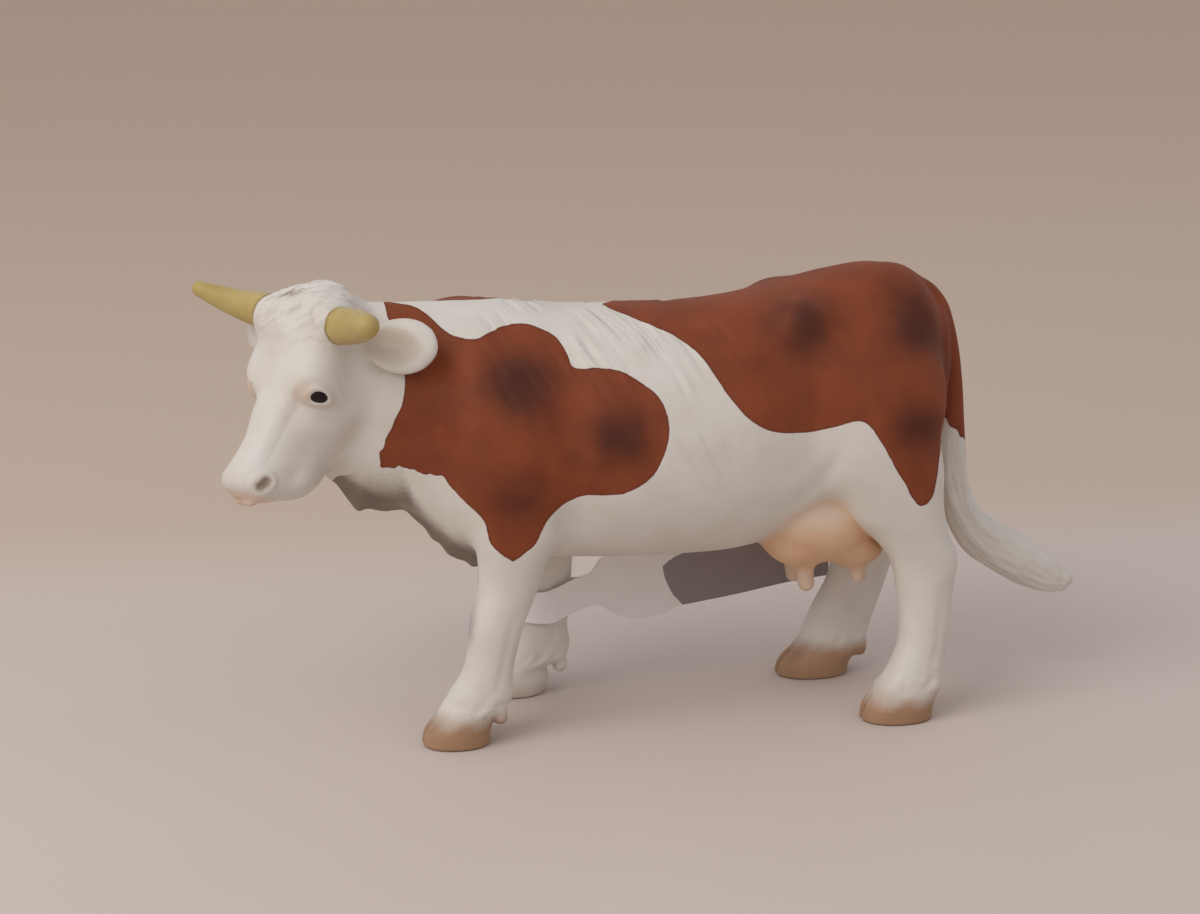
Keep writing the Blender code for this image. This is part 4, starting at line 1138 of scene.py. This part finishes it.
ear_vinyl = painted_vinyl("hand_painted_soft_vinyl_ear", white_hues, [
    # Airbrush tan and painted shade in the spoon
    ("inner", ("#D3C2AF", "#CBB8A3"), 0.05, 1.0, 0.2, 0.55, None),
], vinyl_gloss)
for ear_name, (ear_root, ear_ways) in ears.items():
    ear_low, ear_high = around([ear_root, ear_root + 14 * ear_ways[0]], 6)
    section(ear_name, ear_low, ear_high, ear_pitch,
            lambda p, name=ear_name: zone_of(p, lambda q: ear(q, name)),
            lambda p, name=ear_name: ear_marks(p, name), ear_vinyl, "white_vinyl")


# Horns
# Two short forward-curving horns in firm vinyl on pegs beside the poll, brushed in olive-yellow satin
# paint that leaves dark specks where it meets the hair.

# In the head's axes: down the nose, out of the brow, aside, and the radius
horn_rows = {
    "left_horn": [
        (5.4, -3.3, 6.4, 3.0), (5.5, -2.6, 11.2, 2.85), (5.8, -1.4, 15.8, 2.45), (6.2, 0.4, 19.7, 1.9),
    ],
    "right_horn": [
        (4.3, -3.0, -6.4, 3.0), (4.1, -2.3, -11.6, 2.75), (3.6, -0.4, -17.0, 2.05), (2.9, 2.6, -21.7, 1.25),
    ],
}


def horn_place(p, name):
    """How far a point lies from a horn's middle line, how far along it, and the horn's radius there."""
    rows = np.array(horn_rows[name])
    table = np.column_stack([np.linspace(0, 1, len(rows)), rows])
    fine = along(table, np.linspace(0, 1, 17)).T
    path = fine[:, :3]
    far, run = line_distance(in_head(p), path)
    passed = travelled(path)
    return far, run, np.interp(run, passed / passed[-1], fine[:, 3])


def horn(p, name):
    """One horn, slightly uneven from the brush."""
    far, run, radius = horn_place(p, name)
    nose, brow, left = in_head(p).T
    return far - radius + 0.07 * noise(nose / 1.6, brow / 1.6, left / 4, 81)


horn_vinyl = painted_vinyl("brushed_horn_paint", ("#BFA86B", "#AE9658"), [
    ("root", ("#8A7440", "#7C6838"), 0.3, 1.0, 0.9, 0.75, None),
], (0.36, 0.5), 0.05)
for horn_name, rows in horn_rows.items():
    corners = [poll + np.array(row[:3]) @ head_ways for row in rows]
    horn_low, horn_high = around(corners, 4)
    points, faces, facing = skin(lambda p, name=horn_name: horn(p, name), horn_low, horn_high,
                                 horn_pitch * coarse)
    run = horn_place(points, horn_name)[1]
    # The paint streaks lengthways, with specks close to the hair
    marks = {"root": np.clip(1.3 - np.maximum(flesh(points), 0) / 0.9, 0, 1),
             "comb_across": points[:, 2] / 0.6, "comb_along": run * 3, "comb": 0 * run + 0.35,
             # No painted crease shade on the horns
             "hollow": 0 * run}
    piece = mesh_piece(horn_name + "_vinyl", points, faces, facing, 0, marks)
    piece.data.materials.append(horn_vinyl)
    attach(piece, "figure")
    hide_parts(horn_name)


# Legs
# Four legs cast from below the belly down, glued to the torso on pegs. White vinyl, with horn-coloured
# hooves airbrushed from the sole upwards, cloven, with dewclaws and a ragged fringe above them.

# How strongly each leg's hoof is sprayed, and how high it reaches
hoof_spray = {
    "front_left_leg": (1.1, 6.6), "front_right_leg": (0.5, 4.4),
    "hind_left_leg": (1.0, 6.4), "hind_right_leg": (1.35, 7.2),
}


# The grey scuff on the front left knee
scuff_middle = (-29.0, -11.6, 20.8)
scuff_reach = (1.6, 2.6, 4.4)


def leg_marks(p, name):
    """Where each paint of a leg lies, and the lie of its hair."""
    x, y, z = p.T
    place, out = leg_middle(name, z)[:2]
    turn = np.arctan2(y - out, x - place)
    strength, reach = hoof_spray[name]
    uneven = 0.5 * noise(2 * np.cos(turn), 2 * np.sin(turn), z / 3, 91)
    hoof = strength * np.clip((reach + uneven - z) / 4.6, 0, 1)
    knee = egg(p, scuff_middle, scuff_reach) if name == "front_left_leg" else 9 + 0 * z
    return {"hoof": hoof, "sole": np.clip(1 - z / 0.6, 0, 1), "knee": np.clip(0.55 - knee / 2.6, 0, 1),
            "flush": np.clip(1 - udder(p) / 5, 0, 1), "comb_along": z / 3,
            "comb_across": (1.2 * (x - place) + 0.9 * (y - out)) / 0.6,
            "comb": 0.2 + 0.7 * np.exp(-((z - 6.6) / 2.2) ** 2) + 0.25 * np.exp(-((z - 2) / 2) ** 2)}


leg_vinyl = painted_vinyl("hand_painted_soft_vinyl_leg", white_hues, [
    ("flush", ("#DDB899", "#D6AD8C"), 0.25, 1.0, 0.2, 0.8, None),
    ("knee", ("#A79A98", "#9F918F"), 0.05, 1.0, 0.2, 0.8, None),
    ("hoof", ("#A98160", "#9B7352"), 0.05, 0.95, 0.12, 0.95, 0.45),
    ("sole", ("#6E5442", "#644B3A"), 0.45, 1.0, 0.1, 0.8, None),
], vinyl_gloss)
for leg_name, rows in leg_rows.items():
    stance = leg_stance[leg_name]
    places = [row[1] for row in rows if row[0] < 30]
    low = np.array([min(places) - 8, min(stance) - 7, -1.0])
    high = np.array([max(places) + 8, max(stance) + 7, 29.0])
    low[1] = max(low[1], 0.3) if stance[0] > 0 else low[1]
    high[1] = min(high[1], -0.3) if stance[0] < 0 else high[1]
    section(leg_name, low, high, section_pitch, leg_zone, lambda p, name=leg_name: leg_marks(p, name),
            leg_vinyl, "white_vinyl")


# Udder
# A soft casting let in between the thighs, airbrushed peach and paler at its four teats.
def udder_marks(p):
    """Paler teats and front, and a deeper peach behind."""
    x, y, z = p.T
    return {"teat": np.clip((24.6 - z) / 2.5, 0, 1),
            "deep": np.clip((x - 32) / 7, 0, 1) * np.clip((z - 25) / 4, 0, 1),
            "pale": np.clip((z - 29) / 5, 0, 1) * np.clip((36 - x) / 6, 0, 1),
            "comb_across": x / 1.2, "comb_along": z / 1.8, "comb": 0.35 + 0 * x}


udder_vinyl = painted_vinyl("airbrushed_udder_vinyl", ("#E3BC98", "#DBB08A"), [
    ("deep", ("#D29C6E", "#C99061"), 0.1, 1.0, 0.2, 0.8, None),
    ("pale", ("#DDCBB8", "#D6C2AD"), 0.1, 1.0, 0.2, 0.8, None),
    ("teat", ("#DDC6B2", "#D6BCA6"), 0.1, 1.0, 0.2, 0.8, None),
], (0.42, 0.54), 0.05)
section("udder", *udder_box, section_pitch, lambda p: zone_of(p, udder), udder_marks, udder_vinyl,
        "udder_paint")


# Tail
# Dock, tail and switch in one casting that sits in a socket above the rump. The upper half is brown like
# the rump, and the long locks of the switch are white.
def tail_marks(p):
    """The brown of the upper half, and the lie of the long hair."""
    x, y, z = p.T
    far, run, turn = tail_place(p)
    patch = (x - 51.7) * 0.735 + (z - 46.4) * 0.678 + 0.5 * noise(x / 1.2, y / 1.2, z / 1.6, 95)
    across = far * (np.sin(turn) + 0.8 * np.cos(turn)) * 2
    return {"patch": patch, "dark": 0 * x, "comb_across": across, "comb_along": run * 18,
            "comb": 0.2 + 0.8 * np.clip((run - switch_share) / 0.12, 0, 1)}


tail_vinyl = painted_vinyl("hand_painted_soft_vinyl_tail", white_hues, patch_layers, vinyl_gloss)
section("tail", *tail_box, section_pitch, lambda p: zone_of(p, tail), tail_marks, tail_vinyl,
        "patched_vinyl")


# Hang tag
# A slit label of coated card, 0.25 mm thick, whose strap goes round the right foreleg and is stuck to the
# back of its own tab. The tab is bare white and the long end is printed plain grey.
# The upright axis of the leg that it hangs on, its angle to the flank, and how far out the loop lies
tag_axis = np.array([-12.97, 10.18, 0.0])
tag_splay = np.radians(13.5)
tag_reach = 5.13
card_thick = 0.25

# Along the card from the leg: place, lower edge, upper edge
card_rows = [
    (50.8, 14.9, 23.9), (44.0, 14.6, 23.6), (33.0, 13.6, 22.6), (25.0, 13.15, 22.2), (22.7, 13.0, 22.2),
    (20.6, 12.3, 22.9), (18.0, 11.9, 23.3), (15.4, 11.7, 23.5), (12.7, 12.4, 23.5), (11.0, 13.1, 23.5),
    (10.0, 13.7, 23.4), (8.8, 14.6, 23.3), (7.8, 15.15, 22.8),
    (6.9, 15.1, 21.4), (6.2, 15.05, 20.8), (5.4, 14.95, 20.6), (3.5, 14.5, 20.2), (1.5, 13.8, 19.5),
    (0.0, 13.2, 19.0),
]
# Round the leg: turn in degrees, lower edge; then the far strand back to the tab: place, out, lower edge
loop_rows = [(250, 13.1), (225, 13.1), (180, 13.0), (135, 12.8), (90, 12.7), (60, 12.7), (31.5, 12.9)]
strand_rows = [(6.0, -0.6, 13.5), (8.4, -4.3, 15.2), (9.4, -4.86, 15.6), (15.0, -4.86, 15.6)]
strap_height = 5.4

route = [(place, -tag_reach, low, high) for place, low, high in card_rows]
for turn, low in loop_rows:
    way = np.radians(turn)
    route.append((tag_reach * np.cos(way), tag_reach * np.sin(way), low, low + strap_height))
route += [(place, out, low, low + strap_height) for place, out, low in strand_rows]
route = np.array(route)
passed = travelled(route[:, :2])
stops = np.unique(np.concatenate([passed, np.arange(0, passed[-1], 0.5 * coarse)]))
smooth = along(np.column_stack([passed, route]), stops).T
# The long end bows outwards a little, as card does once it has been bent
card_end = passed[len(card_rows) - 1]
bow = 0.35 * np.sin(np.pi * np.clip((smooth[:, 0] - 16) / 35, 0, 1)) * (stops < card_end)
smooth[:, 1] += bow
tangent = np.gradient(smooth[:, :2], stops, axis=0)
tangent /= np.linalg.norm(tangent, axis=1)[:, None]
aside = np.stack([-tangent[:, 1], tangent[:, 0]], axis=1)
levels = np.linspace(0, 1, 13)
grid = []
printed_part = []
turn_in = np.array([[np.cos(tag_splay), np.sin(tag_splay)], [-np.sin(tag_splay), np.cos(tag_splay)]])
# The printed panel's curved edge: height above the card's middle, and place along the card
panel_edge = ([-4.5, -2.3, 0.6, 3.0, 4.2, 4.6], [23.3, 21.3, 19.9, 19.4, 21.9, 23.4])
for face in (1, -1):
    for row, side_way, stop in zip(smooth, aside, stops):
        flat = row[:2] + side_way * face * card_thick / 2
        height = row[2] + (row[3] - row[2]) * levels
        ground = flat @ turn_in + tag_axis[:2]
        grid.append(np.column_stack([np.tile(ground, (len(levels), 1)), height]))
        middle = (row[2] + row[3]) / 2
        limit = np.interp(height - middle, *panel_edge)
        printed_part.append(np.where(stop < card_end, row[0] - limit, -5))
count = len(stops)
wide = len(levels)
points = np.concatenate(grid)
index = np.arange(2 * count * wide).reshape(2, count, wide)
quads = []
for sheet, flip in ((index[0], False), (index[1], True)):
    ring = np.stack([sheet[:-1, :-1], sheet[1:, :-1], sheet[1:, 1:], sheet[:-1, 1:]], axis=-1).reshape(-1, 4)
    quads.append(ring[:, ::-1] if flip else ring)
for one, other, flip in ((index[0][:, 0], index[1][:, 0], True), (index[0][:, -1], index[1][:, -1], False),
                         (index[0][0], index[1][0], False), (index[0][-1], index[1][-1], True)):
    ring = np.stack([one[:-1], one[1:], other[1:], other[:-1]], axis=-1)
    quads.append(ring[:, ::-1] if flip else ring)
quads = np.concatenate(quads)
tag_mesh = bpy.data.meshes.new("tag_card")
tag_mesh.from_pydata(((points + stand) / 1000).tolist(), [], quads.tolist())
tag_mesh.update()
layer = tag_mesh.attributes.new("panel", "FLOAT", "POINT")
layer.data.foreach_set("value", np.concatenate(printed_part).astype(np.float32))
tag_mesh.shade_smooth()
tag_mesh.set_sharp_from_angle(angle=np.radians(40))
tag = new_object("tag_card", tag_mesh)

# Clay-coated card: smooth and slightly glossy, with fibre clouds of 3 mm and a faint 0.2 mm tooth
coated_card, card_tree, card_shader = new_material("coated_white_card")
card_place = add_node(card_tree, "TexCoord").outputs["Object"]
fibre = clouds(card_tree, 330, 5, card_place)
tooth = clouds(card_tree, 5000, 1, card_place)
bare = two_tone(card_tree, ("#F0ECE9", "#E9E3DF"), fibre)
grey = two_tone(card_tree, ("#928685", "#887C7B"), fibre)
printed = mapped(card_tree, {1: -0.04, 2: 0.04}, mark_level(card_tree, "panel"))
card_colour = coated(card_tree, printed, bare, grey)
card_rough = mapped(card_tree, {3: 0.34, 4: 0.46}, fibre)
card_bump = add_node(card_tree, "Bump", {"Strength": 0.3, "Distance": 0.00002}, {"Height": tooth}).outputs[0]
finish_shader(card_tree, card_shader, card_colour, card_rough, card_bump)
tag_mesh.materials.append(coated_card)
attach(tag, "tag")
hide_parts("tag")


# Floor
# A wide flat sheet of pale warm studio paper, with painted shade: towards the back its colour turns
# browner and darker, where the light falls off.
floor_mesh = bpy.data.meshes.new("floor")
floor_mesh.from_pydata([(-3, -3, 0), (3, -3, 0), (3, 6, 0), (-3, 6, 0)], [], [(0, 1, 2, 3)])
floor = new_object("floor", floor_mesh)
studio_paper, paper_tree, paper_shader = new_material("studio_paper")
paper_place = add_node(paper_tree, "TexCoord").outputs["Object"]
back = add_node(paper_tree, "SeparateXYZ", {}, {0: paper_place}).outputs[1]
# Painted shade: two steps of browner, darker paper towards the back
bend = mapped(paper_tree, {1: 0.065, 2: 0.13}, back, interpolation_type="SMOOTHSTEP")
back = mapped(paper_tree, {1: 0.1, 2: 0.9}, back, interpolation_type="SMOOTHSTEP")
paper_colour = two_tone(paper_tree, ("#D6C8BF", "#CEBFB5"), clouds(paper_tree, 14, 5, paper_place))
for hue, share in (("#CDB8A6", bend), ("#CBB09B", back)):
    paper_colour = add_node(paper_tree, "Mix", {7: linear(hue)}, {0: share, 6: paper_colour},
                            data_type="RGBA").outputs[2]
paper_tree.links.new(paper_colour, paper_shader.inputs["Base Color"])
paper_shader.inputs["Roughness"].default_value = 0.9
floor_mesh.materials.append(studio_paper)
floor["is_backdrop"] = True


# Light and camera
# A large softbox high on the left and the pale walls of a room, and the camera where the photograph was
# taken.
world = bpy.data.worlds.new("studio")
world.use_nodes = True
world.node_tree.nodes["Background"].inputs["Color"].default_value = linear("#E6E5E8")
world.node_tree.nodes["Background"].inputs["Strength"].default_value = 0.72
bpy.context.scene.world = world
lamp_data = bpy.data.lights.new("softbox", "AREA")
lamp_data.energy = 2.7
lamp_data.size = 0.55
lamp = new_object("softbox", lamp_data)
lamp.location = (-0.52, -0.34, 0.56)
lamp.rotation_euler = (Vector((0, 0, 0.04)) - lamp.location).to_track_quat("-Z", "Y").to_euler()

camera_data = bpy.data.cameras.new("camera")
camera_data.lens = 84
camera_data.sensor_width = 36
camera = new_object("camera", camera_data)
camera.location = (-0.0876, -0.4230, 0.15825)
camera_target = Vector((-0.00875, 0.00249, 0.0423))
camera.rotation_euler = (camera_target - camera.location).to_track_quat("-Z", "Y").to_euler()
bpy.context.scene.camera = camera
bpy.context.scene.view_settings.view_transform = "Standard"

low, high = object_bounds()
